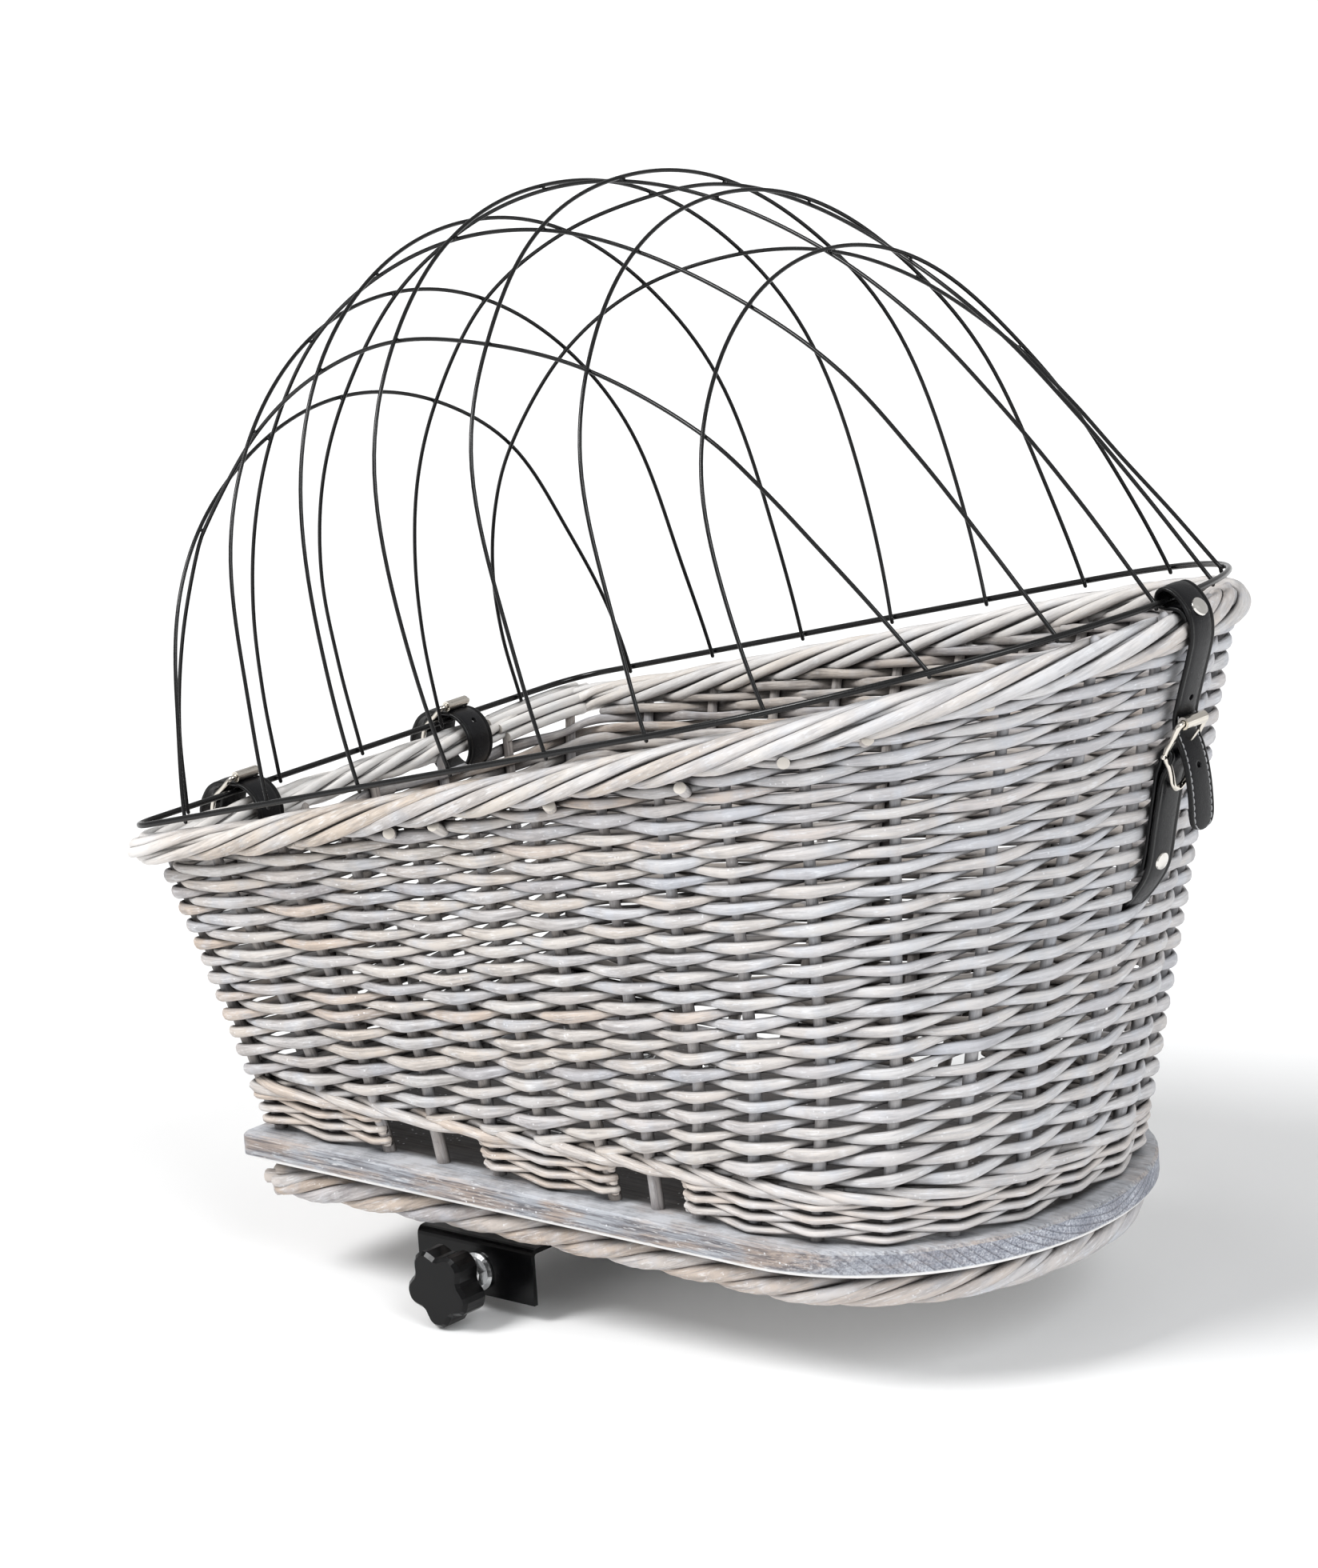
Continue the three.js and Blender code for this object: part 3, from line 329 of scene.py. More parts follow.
class N:
    def __init__(self, nt):
        self.nt = nt

    def new(self, kind, **kw):
        n = self.nt.nodes.new(kind)
        for k, v in kw.items():
            setattr(n, k, v)
        return n

    def link(self, a, b):
        self.nt.links.new(a, b)

    def attr(self, name):
        return self.new("ShaderNodeAttribute", attribute_name=name).outputs["Fac"]

    def coord(self):
        return self.new("ShaderNodeTexCoord").outputs["Object"]

    def math(self, op, a, b=None, c=None, clamp=False):
        n = self.new("ShaderNodeMath", operation=op, use_clamp=clamp)
        for i, x in enumerate((a, b, c)):
            if x is None:
                continue
            if isinstance(x, (int, float)):
                n.inputs[i].default_value = x
            else:
                self.link(x, n.inputs[i])
        return n.outputs[0]

    def vec(self, x, y, z):
        n = self.new("ShaderNodeCombineXYZ")
        for i, q in enumerate((x, y, z)):
            if isinstance(q, (int, float)):
                n.inputs[i].default_value = q
            else:
                self.link(q, n.inputs[i])
        return n.outputs[0]

    def noise(self, vec, scale, detail=3, rough=0.5, out=0, distortion=0.0):
        n = self.new("ShaderNodeTexNoise")
        self.link(vec, n.inputs["Vector"])
        n.inputs["Scale"].default_value = scale
        n.inputs["Detail"].default_value = detail
        n.inputs["Roughness"].default_value = rough
        n.inputs["Distortion"].default_value = distortion
        return n.outputs[out]

    def voronoi(self, vec, scale, feature="F1"):
        n = self.new("ShaderNodeTexVoronoi", feature=feature)
        self.link(vec, n.inputs["Vector"])
        n.inputs["Scale"].default_value = scale
        return n.outputs["Distance"]

    def ramp(self, fac, stops, interp="LINEAR"):
        n = self.new("ShaderNodeValToRGB")
        self.link(fac, n.inputs[0])
        cr = n.color_ramp
        cr.interpolation = interp
        while len(cr.elements) < len(stops):
            cr.elements.new(0.5)
        for e, (p, c) in zip(cr.elements, stops):
            e.position = p
            e.color = c if len(c) == 4 else (*c, 1)
        return n.outputs[0]

    def mix(self, fac, a, b, blend="MIX"):
        n = self.new("ShaderNodeMix", data_type="RGBA", blend_type=blend)
        for sock, x in ((n.inputs[0], fac), (n.inputs[6], a), (n.inputs[7], b)):
            if isinstance(x, (int, float)):
                sock.default_value = x
            elif isinstance(x, tuple):
                sock.default_value = x
            else:
                self.link(x, sock)
        return n.outputs[2]

    def range(self, x, a, b, c=0.0, d=1.0):
        n = self.new("ShaderNodeMapRange", clamp=True)
        self.link(x, n.inputs[0])
        for i, q in enumerate((a, b, c, d)):
            n.inputs[i + 1].default_value = q
        return n.outputs[0]

    def bump(self, height, strength=0.3, distance=0.0005, normal=None):
        n = self.new("ShaderNodeBump")
        self.link(height, n.inputs["Height"])
        n.inputs["Strength"].default_value = strength
        n.inputs["Distance"].default_value = distance
        if normal is not None:
            self.link(normal, n.inputs["Normal"])
        return n.outputs[0]


def willow(name, tones, blue=0.35, speck=0.5, dark=0.35, light=1.0, crevice_shade=1.0, inside=0.5, reach=0.0075, pale=0.0):
    m, nt, b = material(name)
    g = N(nt)
    rod, tone, along, around, cut = (g.attr(k) for k in ("rod", "tone", "along", "around", "cut"))
    P = g.coord()
    base = g.ramp(tone, tones)
    # slow colour drift along each rod
    lane = g.vec(g.math("MULTIPLY", along, 14.0), g.math("MULTIPLY", rod, 97.0), g.math("MULTIPLY", around, 0.6))
    drift = g.noise(lane, 1.0, 3, 0.6)
    base = g.mix(g.range(drift, 0.38, 0.74, 0.0, 0.42), base, srgb(198, 181, 166))
    # fine fibre streaks along the rod
    fibre = g.vec(g.math("MULTIPLY", along, 55.0), g.math("MULTIPLY", rod, 61.0), g.math("MULTIPLY", around, 9.0))
    streak = g.noise(fibre, 1.0, 5, 0.65)
    base = g.mix(g.range(streak, 0.44, 0.66, 0.0, dark), base, srgb(106, 101, 102))
    # bluish grey wash left in patches
    wash = g.noise(P, 55.0, 4, 0.6)
    base = g.mix(g.range(wash, 0.50, 0.66, 0.0, blue), base, srgb(190, 197, 208))
    # chalky white rubbed on the crowns
    chalk_n = g.noise(g.vec(g.math("MULTIPLY", along, 120.0), g.math("MULTIPLY", rod, 31.0), g.math("MULTIPLY", around, 14.0)), 1.0, 4, 0.7)
    base = g.mix(g.range(chalk_n, 0.54, 0.68, 0.0, 0.55 * light), base, srgb(236, 237, 239))
    # white paint specks
    sp = g.voronoi(P, 330.0)
    patch = g.noise(P, 90.0, 2, 0.5)
    dot = g.math("MULTIPLY", g.range(sp, 0.10, 0.20, 1.0, 0.0), g.range(patch, 0.52, 0.60, 0.0, speck))
    base = g.mix(dot, base, srgb(250, 250, 252))
    # small dark knots and stains
    kn = g.noise(g.vec(g.math("MULTIPLY", along, 40.0), g.math("MULTIPLY", rod, 43.0), around), 1.0, 2, 0.5)
    base = g.mix(g.range(kn, 0.70, 0.78, 0.0, 0.55), base, srgb(92, 76, 66))
    # painted light: the round rear is painted paler and cooler, standing in for the cool light that falls on that side
    place = g.new("ShaderNodeSeparateXYZ")
    g.link(P, place.inputs[0])
    base = g.mix(g.range(place.outputs[0], 0.10, 0.32, 0.0, 0.32), base, srgb(208, 213, 222))
    # painted light: the rim's front and far side are painted near white, to brighten faces that the lamps leave in
    # shade
    if pale:
        painted_light_spot = g.math("MAXIMUM", g.range(place.outputs[0], -0.140, -0.115, 1.0, 0.0), g.range(place.outputs[1], 0.06, 0.13, 0.0, 0.6))
        base = g.mix(g.math("MULTIPLY", painted_light_spot, pale), base, srgb(247, 245, 243))
    # cut ends: pale wood
    base = g.mix(g.math("MULTIPLY", cut, 0.8), base, srgb(208, 201, 191))
    # the inner faces are painted browner and darker: partly unwashed willow, since the wash was brushed on from
    # outside, and partly painted shade inside the basket
    inner = g.attr("inner")
    base = g.mix(g.range(inner, 0.0, 0.75, 0.0, inside), base, g.mix(g.range(streak, 0.38, 0.62, 0.0, 1.0), srgb(158, 147, 137), srgb(78, 68, 62)))
    # painted shade: faces turned away from the outside are painted near black low in the wall, fading out upwards
    height = g.new("ShaderNodeSeparateXYZ")
    g.link(P, height.inputs[0])
    painted_low_inside_shade = g.math("MULTIPLY", g.range(inner, -0.2, 0.5, 0.0, 1.0), g.range(height.outputs[2], 0.055, 0.19, 0.88, 0.0))
    base = g.mix(painted_low_inside_shade, base, srgb(26, 23, 22))
    # painted shade: ambient occlusion darkens the colour towards dark grey where rods touch and in the gaps between
    # them
    ao = g.new("ShaderNodeAmbientOcclusion", samples=4)
    ao.inputs["Distance"].default_value = reach
    crevice_shade_mask = g.math("POWER", ao.outputs["AO"], 1.5)
    base = g.mix(g.range(crevice_shade_mask, 0.10, 0.66, 0.95 * crevice_shade, 0.0), base, srgb(31, 28, 28))
    g.link(base, b.inputs["Base Color"])
    g.link(g.range(streak, 0.3, 0.8, 0.62, 0.86), b.inputs["Roughness"])
    b.inputs["Specular IOR Level"].default_value = 0.32
    h = g.math("ADD", g.math("MULTIPLY", streak, 0.7), g.math("MULTIPLY", chalk_n, 0.5))
    g.link(g.bump(h, 0.38, 0.0006), b.inputs["Normal"])
    return m


WILLOW = willow("willow_wall_mat", [(0.0, srgb(178, 177, 181)), (0.22, srgb(198, 196, 196)), (0.45, srgb(208, 204, 200)), (0.7, srgb(206, 198, 190)), (0.88, srgb(198, 197, 199)), (1.0, srgb(204, 188, 174))], dark=0.5, reach=0.0085)
WILLOW_STAKE = willow("willow_stake_mat", [(0.0, srgb(158, 155, 156)), (0.5, srgb(172, 168, 166)), (1.0, srgb(178, 170, 164))], blue=0.3, speck=0.2, dark=0.6, light=0.4, crevice_shade=0.5, inside=0.3)
WILLOW_RIM = willow("willow_rim_mat", [(0.0, srgb(200, 197, 196)), (0.4, srgb(219, 214, 209)), (0.7, srgb(210, 203, 195)), (1.0, srgb(202, 188, 174))], blue=0.28, speck=0.3, dark=0.48, crevice_shade=0.95, inside=0.04, reach=0.0062, pale=0.55)
WILLOW_BAND = willow("willow_band_mat", [(0.0, srgb(194, 189, 186)), (0.4, srgb(210, 203, 197)), (0.7, srgb(210, 199, 189)), (1.0, srgb(204, 189, 176))], blue=0.26, speck=0.45, dark=0.5, reach=0.0085)
WILLOW_FOOT = willow("willow_foot_mat", [(0.0, srgb(178, 176, 180)), (0.4, srgb(198, 192, 188)), (0.7, srgb(196, 182, 170)), (1.0, srgb(188, 172, 158))], blue=0.36, speck=0.5, dark=0.55, inside=0.3, reach=0.010)


def board_material():
    m, nt, b = material("board_mat")
    g = N(nt)
    P = g.coord()
    sep = g.new("ShaderNodeSeparateXYZ")
    g.link(P, sep.inputs[0])
    x, y, z = sep.outputs
    # growth rings round a far axis along X: straight lines on the long sides, arcs on the ends
    dy = g.math("SUBTRACT", y, 0.004)
    dz = g.math("SUBTRACT", z, 0.115)
    wob = g.noise(g.vec(g.math("MULTIPLY", x, 3.0), g.math("MULTIPLY", y, 5.0), g.math("MULTIPLY", z, 5.0)), 1.6, 2, 0.45)
    r = g.math("SQRT", g.math("ADD", g.math("MULTIPLY", dy, dy), g.math("MULTIPLY", dz, dz)))
    r = g.math("ADD", r, g.math("MULTIPLY", wob, 0.03))
    ring = g.math("FRACT", g.math("MULTIPLY", r, 260.0))
    ring = g.math("POWER", ring, 2.2)
    grain = g.noise(g.vec(g.math("MULTIPLY", x, 26.0), g.math("MULTIPLY", y, 620.0), g.math("MULTIPLY", z, 620.0)), 1.0, 5, 0.72)
    flake = g.noise(g.vec(g.math("MULTIPLY", x, 130.0), g.math("MULTIPLY", y, 900.0), g.math("MULTIPLY", z, 900.0)), 1.0, 4, 0.7)
    patch = g.noise(g.vec(g.math("MULTIPLY", x, 22.0), g.math("MULTIPLY", y, 40.0), g.math("MULTIPLY", z, 110.0)), 1.0, 4, 0.62)
    base = g.mix(g.range(ring, 0.2, 1.0, 0.0, 0.35), srgb(160, 163, 169), srgb(108, 110, 118))
    base = g.mix(g.range(patch, 0.44, 0.58, 0.0, 0.72), base, srgb(166, 146, 130))
    base = g.mix(g.range(grain, 0.43, 0.60, 0.0, 0.85), base, srgb(80, 78, 83))
    base = g.mix(g.range(flake, 0.56, 0.68, 0.0, 0.62), base, srgb(216, 216, 217))
    geo = g.new("ShaderNodeNewGeometry")
    sn = g.new("ShaderNodeSeparateXYZ")
    g.link(geo.outputs["True Normal"], sn.inputs[0])
    # end grain at the rounded rear is darker and bluer
    endg = g.math("MULTIPLY", g.range(g.math("ABSOLUTE", sn.outputs[0]), 0.25, 0.9, 0.0, 0.85), g.range(sn.outputs[2], 0.2, 0.6, 1.0, 0.0))
    fine = g.noise(P, 950.0, 3, 0.7)
    cloud = g.noise(P, 55.0, 3, 0.6)
    cutend = g.mix(g.range(fine, 0.38, 0.62, 0.0, 1.0), srgb(204, 208, 217), srgb(116, 120, 134))
    cutend = g.mix(g.range(cloud, 0.40, 0.62, 0.0, 0.55), cutend, srgb(104, 108, 121))
    cutend = g.mix(g.range(ring, 0.45, 1.0, 0.0, 0.85), cutend, srgb(66, 69, 81))
    base = g.mix(endg, base, cutend)
    # the top ledge carries more of the wash
    top = g.range(sn.outputs[2], 0.55, 0.95, 0.0, 1.0)
    blot = g.noise(g.vec(g.math("MULTIPLY", x, 60.0), g.math("MULTIPLY", y, 90.0), g.math("MULTIPLY", z, 90.0)), 1.0, 4, 0.68)
    base = g.mix(g.math("MULTIPLY", top, g.range(blot, 0.40, 0.60, 0.30, 0.78)), base, srgb(208, 210, 215))
    # painted shade: inside the basket the upper face is painted dark brown, standing in for the shade there
    dx = g.math("MAXIMUM", g.math("SUBTRACT", x, 0.185), 0.0)
    rad = g.math("SQRT", g.math("ADD", g.math("MULTIPLY", dx, dx), g.math("MULTIPLY", y, y)))
    board_inside_shade = g.math("MULTIPLY", g.range(rad, 0.105, 0.111, 1.0, 0.0), g.range(x, -0.122, -0.114, 0.0, 1.0))
    board_inside_shade = g.math("MULTIPLY", board_inside_shade, g.range(sn.outputs[2], 0.55, 0.95, 0.0, 0.9))
    base = g.mix(board_inside_shade, base, g.mix(g.range(grain, 0.35, 0.65, 0.0, 1.0), srgb(56, 49, 44), srgb(28, 24, 22)))
    # pale lower edge: partly wear where the wash is rubbed off, partly a painted highlight on the downward chamfer,
    # which lies in shade
    edge = g.range(g.math("SUBTRACT", z, 0.0292), 0.0013, 0.0022, 0.97, 0.0)
    base = g.mix(edge, base, srgb(244, 243, 242))
    sp = g.range(g.voronoi(P, 300.0), 0.1, 0.2, 1.0, 0.0)
    pt = g.range(g.noise(P, 60.0, 2, 0.5), 0.52, 0.6, 0.0, 0.6)
    base = g.mix(g.math("MULTIPLY", sp, pt), base, srgb(236, 238, 242))
    # painted shade: ambient occlusion darkens the board where it meets the weave and in its hollows
    ao = g.new("ShaderNodeAmbientOcclusion", samples=4)
    ao.inputs["Distance"].default_value = 0.008
    base = g.mix(g.range(g.math("POWER", ao.outputs["AO"], 1.3), 0.06, 0.5, 0.72, 0.0), base, srgb(40, 38, 40))
    g.link(base, b.inputs["Base Color"])
    g.link(g.range(grain, 0.3, 0.8, 0.6, 0.85), b.inputs["Roughness"])
    h = g.math("ADD", g.math("MULTIPLY", grain, 0.8), g.math("MULTIPLY", ring, 0.5))
    g.link(g.bump(h, 0.35, 0.0006), b.inputs["Normal"])
    return m


def metal(name, col, rough, scratch=0.12, metallic=1.0, spec=0.5, coat=0.0, bump=0.05, scale=900.0, spread=0.25):
    m, nt, b = material(name)
    g = N(nt)
    P = g.coord()
    n1 = g.noise(P, scale, 3, 0.6)
    n2 = g.noise(P, 60.0, 3, 0.6)
    c2 = tuple(min(1.0, c * (1 + spread)) for c in col[:3]) + (1,)
    c1 = tuple(c * (1 - spread) for c in col[:3]) + (1,)
    g.link(g.mix(g.range(n2, 0.3, 0.7, 0.0, 1.0), c1, c2), b.inputs["Base Color"])
    g.link(g.range(n1, 0.3, 0.7, max(0.03, rough - scratch), rough + scratch), b.inputs["Roughness"])
    b.inputs["Metallic"].default_value = metallic
    b.inputs["Specular IOR Level"].default_value = spec
    b.inputs["Coat Weight"].default_value = coat
    b.inputs["Coat Roughness"].default_value = 0.12
    g.link(g.bump(n1, bump, 0.0002), b.inputs["Normal"])
    return m


WIRE = metal("wire_mat", srgb(9, 9, 10), 0.24, 0.07, metallic=0.0, spec=0.4, coat=0.0, bump=0.06, scale=1400.0)
STEEL = metal("black_steel_mat", srgb(5, 5, 6), 0.24, 0.03, metallic=0.0, spec=0.20, coat=0.0, bump=0.08, scale=1600.0, spread=0.1)
KNOB = metal("knob_mat", srgb(5, 5, 6), 0.20, 0.02, metallic=0.0, spec=0.22, coat=0.0, bump=0.02, scale=900.0, spread=0.08)
RUBBER = metal("rubber_mat", srgb(24, 24, 25), 0.75, 0.1, metallic=0.0, spec=0.3, bump=0.2, scale=700.0)
NICKEL = metal("nickel_mat", srgb(226, 220, 210), 0.16, 0.06, metallic=1.0, bump=0.04, scale=500.0, spread=0.08)
SILVER = metal("silver_mat", srgb(234, 231, 226), 0.16, 0.06, metallic=1.0, bump=0.05, scale=500.0, spread=0.05)
ZINC = metal("zinc_mat", srgb(216, 217, 218), 0.24, 0.04, metallic=1.0, bump=0.03, scale=700.0, spread=0.04)


def leather_material(name="leather_mat", col=(13, 13, 16)):
    m, nt, b = material(name)
    g = N(nt)
    P = g.coord()
    cell = g.voronoi(P, 1500.0)
    n1 = g.noise(P, 500.0, 4, 0.6)
    n2 = g.noise(P, 45.0, 3, 0.6)
    cut = g.attr("cut")
    base = g.mix(g.range(n2, 0.35, 0.7, 0.0, 1.0), srgb(*[c - 4 for c in col]), srgb(*[c + 5 for c in col]))
    base = g.mix(g.math("MULTIPLY", cut, 0.9), base, srgb(4, 4, 5))
    g.link(base, b.inputs["Base Color"])
    g.link(g.range(n1, 0.3, 0.7, 0.25, 0.42), b.inputs["Roughness"])
    b.inputs["Specular IOR Level"].default_value = 0.31
    g.link(g.bump(g.math("ADD", cell, g.math("MULTIPLY", n1, 0.6)), 0.22, 0.0003), b.inputs["Normal"])
    return m


LEATHER = leather_material()
THREAD = metal("thread_mat", srgb(158, 158, 160), 0.8, 0.1, metallic=0.0, spec=0.2, bump=0.4, scale=2500.0)
BOARD_MAT = board_material()


def dress(node, mat):
    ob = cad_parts[node]
    ob.data.materials.clear()
    ob.data.materials.append(mat)


# ------------------------------------------------------------------ woven wall
AMP = 4.9                   # how far weavers swing round the stakes


def depth0(v):
    """depth of the stakes' centres under the outer face"""
    return 8.6 - 1.2 * smoothstep(v, 0.03, 0.14)


def row_v(U, c):
    """height share where the row plane z = .15 x + 10 c + 251.03 meets the wall at U"""
    b, t = B_OUT.at(U), T_OUT.at(U)
    zt = TOP_SLOPE * t[..., 0] + 219.1
    k = 10 * c + 251.03
    return (0.15 * b[..., 0] + k - Z_BASE) / ((zt - Z_BASE) - 0.15 * (t[..., 0] - b[..., 0]))


SEG = 12
ROW_COUNT = 50
# rows are a little wider apart low down than high up
_cs = [-23.75]
while _cs[-1] < 0.3:
    t_ = (_cs[-1] + 23.75) / 24.0
    _cs.append(_cs[-1] + 0.555 - 0.125 * t_)
WAVE_TOP = 69.0


def uneven(S, a, b):
    """small unevenness along a rod, about -1..1"""
    return (np.sin(2.1 * S + 40 * a + b) + np.sin(3.37 * S + 91 * a + 2.3 * b) + np.sin(5.3 * S + 17 * a - 1.7 * b)) / 2.0


def weave_rows():
    groups = [Build() for _ in range(6)]
    rng = np.random.default_rng(5)
    total = len(_cs)
    for i, c in enumerate(_cs):
        par = i % 2
        s = np.arange(0, N_ST * SEG + 1) / SEG
        v = np.full(s.shape, 0.5)
        low = noise1(len(s), rng, 20) * 0.10
        low = low * (1 - smoothstep(s, 32, 34)) + low[0] * smoothstep(s, 32, 34)
        for _ in range(6):
            U = stake_u(s, v)
            v = row_v(U, c + low * 0.22)
        P = wall_point(U, v)
        # waling line at the bottom, border at the top
        vtop = 1.0 + 0.02
        z_low = WAVE_TOP - 1.0
        ok = (v < vtop) & (P[:, 2] > z_low)
        if ok.sum() < SEG:
            continue
        g = groups[min(5, int(i * 6 / total))]
        pitch = 10 * (_cs[min(i + 1, total - 1)] - _cs[max(i - 1, 0)]) / (min(i + 1, total - 1) - max(i - 1, 0))
        thick = 1 + 0.03 * rng.normal()
        # split the round into rods: a new one is laid in behind a stake
        cuts = [0.0]
        s0 = rng.uniform(0, 10)
        while s0 < N_ST:
            cuts.append(s0); s0 += rng.uniform(11, 19)
        cuts = sorted(set([0.0] + [2 * round((q - (1 - par)) / 2) + (1 - par) + 0.0 for q in cuts if 2 < q < N_ST - 2] + [float(N_ST)]))
        for q0, q1 in zip(cuts[:-1], cuts[1:]):
            tone, rod = rng.uniform(0, 1), rng.uniform(0, 1)
            fat = 1 + 0.045 * rng.normal()
            a, bnd = q0 - 0.32, q1 + 0.32
            idx = (s >= q0 - 1e-6) & (s <= q1 + 1e-6) & ok
            # runs of consecutive points that are inside the wall
            run = np.flatnonzero(idx)
            if len(run) < 4:
                continue
            parts = np.split(run, np.flatnonzero(np.diff(run) > 1) + 1)
            for part in parts:
                if len(part) < 4:
                    continue
                ss = s[part]
                # carry on a little past each end so that neighbouring rods overlap behind the stake
                e0 = e1 = 0
                pre = ss[0] - np.arange(3, 0, -1) / SEG
                post = ss[-1] + np.arange(1, 4) / SEG
                S = np.concatenate([pre, ss, post])
                vv = np.interp(S, ss, v[part], left=v[part][0], right=v[part][-1])
                cc = c + np.interp(S, s, low) * 0.22
                for _ in range(6):
                    UU = stake_u(S, vv)
                    vv = row_v(UU, cc)
                Pt, Nn = wall_point(UU, vv), wall_normal(UU, vv)
                wave = np.cos(PI * S + PI * par)
                swing = 0.62 * np.arcsin(0.98 * wave) / math.asin(0.98) + 0.38 * wave
                local = smoothstep(vv, 0.0, 1.0)
                amp = AMP * (1.0 - 0.10 * local)
                depth = depth0(vv) - amp * swing
                # thickness: widest where the rod shows between its neighbours
                front = 0.5 + 0.5 * swing
                taper = 1.05 - 0.11 * (S - q0) / max(4.0, q1 - q0)
                rv = 0.5 * pitch * thick * fat * taper * (0.80 + 0.46 * front ** 1.6)
                rh = (1.75 + 0.09 * pitch) * thick * fat * taper * np.ones_like(S)
                # the first and last few points sink behind
                edge = np.minimum(np.arange(len(S)), np.arange(len(S))[::-1])
                sink = np.clip(1 - edge / 3.0, 0, 1)
                depth = depth + sink * 2.2
                rv = rv * (1 - 0.25 * sink); rh = rh * (1 - 0.25 * sink)
                C = Pt - Nn * depth[:, None]
                C[:, 2] += 0.45 * swing * pitch / 5.0 + 0.25 * np.sin(PI * S * 0.5 + rod * 6.28) + 0.42 * uneven(S, rod, i)
                rv = rv * (1 + 0.07 * uneven(S + 31.7, rod, i + 3)) * (1 + 0.13 * smoothstep(vv, 0.6, 1.0))
                # the far wall is packed a little closer
                turn = np.mod(UU, 2.0)
                rv = rv * (1 + 0.15 * smoothstep(turn, 1.05, 1.15) * (1 - smoothstep(turn, 1.9, 1.97)))
                t = norm(np.gradient(C, axis=0))
                upv = norm(np.cross(Nn, t))
                upv *= np.sign(upv[:, 2:3])
                n1 = norm(np.cross(upv, t))
                g.sweep(C, n1, upv, rh, rv, 10, rod=rod, tone=tone, start=rod * 900, inner=outward)
    return groups


def stakes():
    g = Build()
    rng = np.random.default_rng(8)
    for k in range(N_ST):
        v = np.linspace(-0.02, 1.06, 26)
        U = stake_u(np.full(v.shape, float(k)), v)
        Pt, Nn = wall_point(U, v), wall_normal(U, v)
        C = Pt - Nn * depth0(v)[:, None]
        C[0, 2] = 40.5
        r = 3.25 - 0.75 * v
        t = norm(np.gradient(C, axis=0))
        side = norm(np.cross(Nn, t)); n1 = norm(np.cross(t, side))
        g.sweep(C, n1, side, r, r * 1.04, 10, rod=rng.uniform(), tone=rng.uniform(), caps=("flat", "round"), start=k * 37.0, inner=outward)
    return g


def band():
    """thin rods just over the board, in lengths between the low openings"""
    g = Build()
    rng = np.random.default_rng(21)
    u = [B_OUT.u_at_x(x) for pair in GAPS for x in pair]
    segs = [(-u[0], u[0]), (u[1], u[2]), (u[3], 2 - u[3]), (2 - u[2], 2 - u[1])]
    zs = [44.6, 47.9, 51.2, 54.5, 57.8, 61.0]
    for a, b in segs:
        n = max(30, int((b - a) / 2 * N_ST * 2 * 10))
        U = np.linspace(a, b, n)
        # stake coordinate along the segment
        kk = np.linspace(-17, 51, 68 * 20 + 1)
        ku = stake_u(kk, np.full(kk.shape, 0.05))
        S = np.interp(U, ku, kk)
        for i, z in enumerate(zs):
            bend = 2 / PI * np.arcsin(0.985 * np.cos(PI * S + PI * (i % 2)))
            zz = z + noise1(n, rng, 24) * 0.16 - 0.85 * bend + 0.2
            v = (zz - Z_BASE) / ((TOP_SLOPE * T_OUT.at(U)[:, 0] + 219.1) - Z_BASE)
            Pt, Nn = wall_point(U, v), wall_normal(U, v)
            swing = bend
            # the last stretch turns round the edge stake
            end = np.minimum(U - a, b - U)
            k = 1 - smoothstep(end, 0.0, 0.012)
            depth = 8.6 - 2.1 - 3.1 * swing * (1 - k)
            C = Pt - Nn * depth[:, None]
            r = (1.98 + 0.07 * rng.normal()) * (1 + 0.09 * swing)
            t = norm(np.gradient(C, axis=0))
            upv = norm(np.cross(Nn, t)); upv *= np.sign(upv[:, 2:3]); n1 = norm(np.cross(upv, t))
            g.sweep(C, n1, upv, r * 1.4, r, 10, rod=rng.uniform(), tone=rng.uniform(0.3, 1), start=rng.uniform(0, 900), inner=outward)
    return g


def stake_ends():
    """cut ends of the stakes showing under the rim on the near side"""
    g = Build()
    rng = np.random.default_rng(41)
    for x, y, z in ((-36.5, -168.0, 215.0), (28.6, -168.4, 228.0), (57.9, -168.2, 234.7), (130.3, -168.3, 253.9), (208.9, -166.3, 271.2),
                    (258.2, -153.4, 286.3), (291.4, -134.6, 296.1), (329.6, -96.8, 306.9), (349.4, -62.9, 314.8)):
        p = np.array([x, y, z])
        n = norm(outward(p[None])[0])
        d = norm(n * 0.86 + np.array([0.25 + 0.2 * rng.normal(), 0, 0.28 + 0.2 * rng.normal()]))
        line = p + np.linspace(-7, 2.6, 6)[:, None] * d
        side, up = parallel(line, (0, 0, 1))
        g.sweep(line, side, up, 3.0, 2.8, 12, rod=rng.uniform(), tone=rng.uniform(), caps=("flat", "flat"), start=rng.uniform(0, 900), inner=outward)
    return g


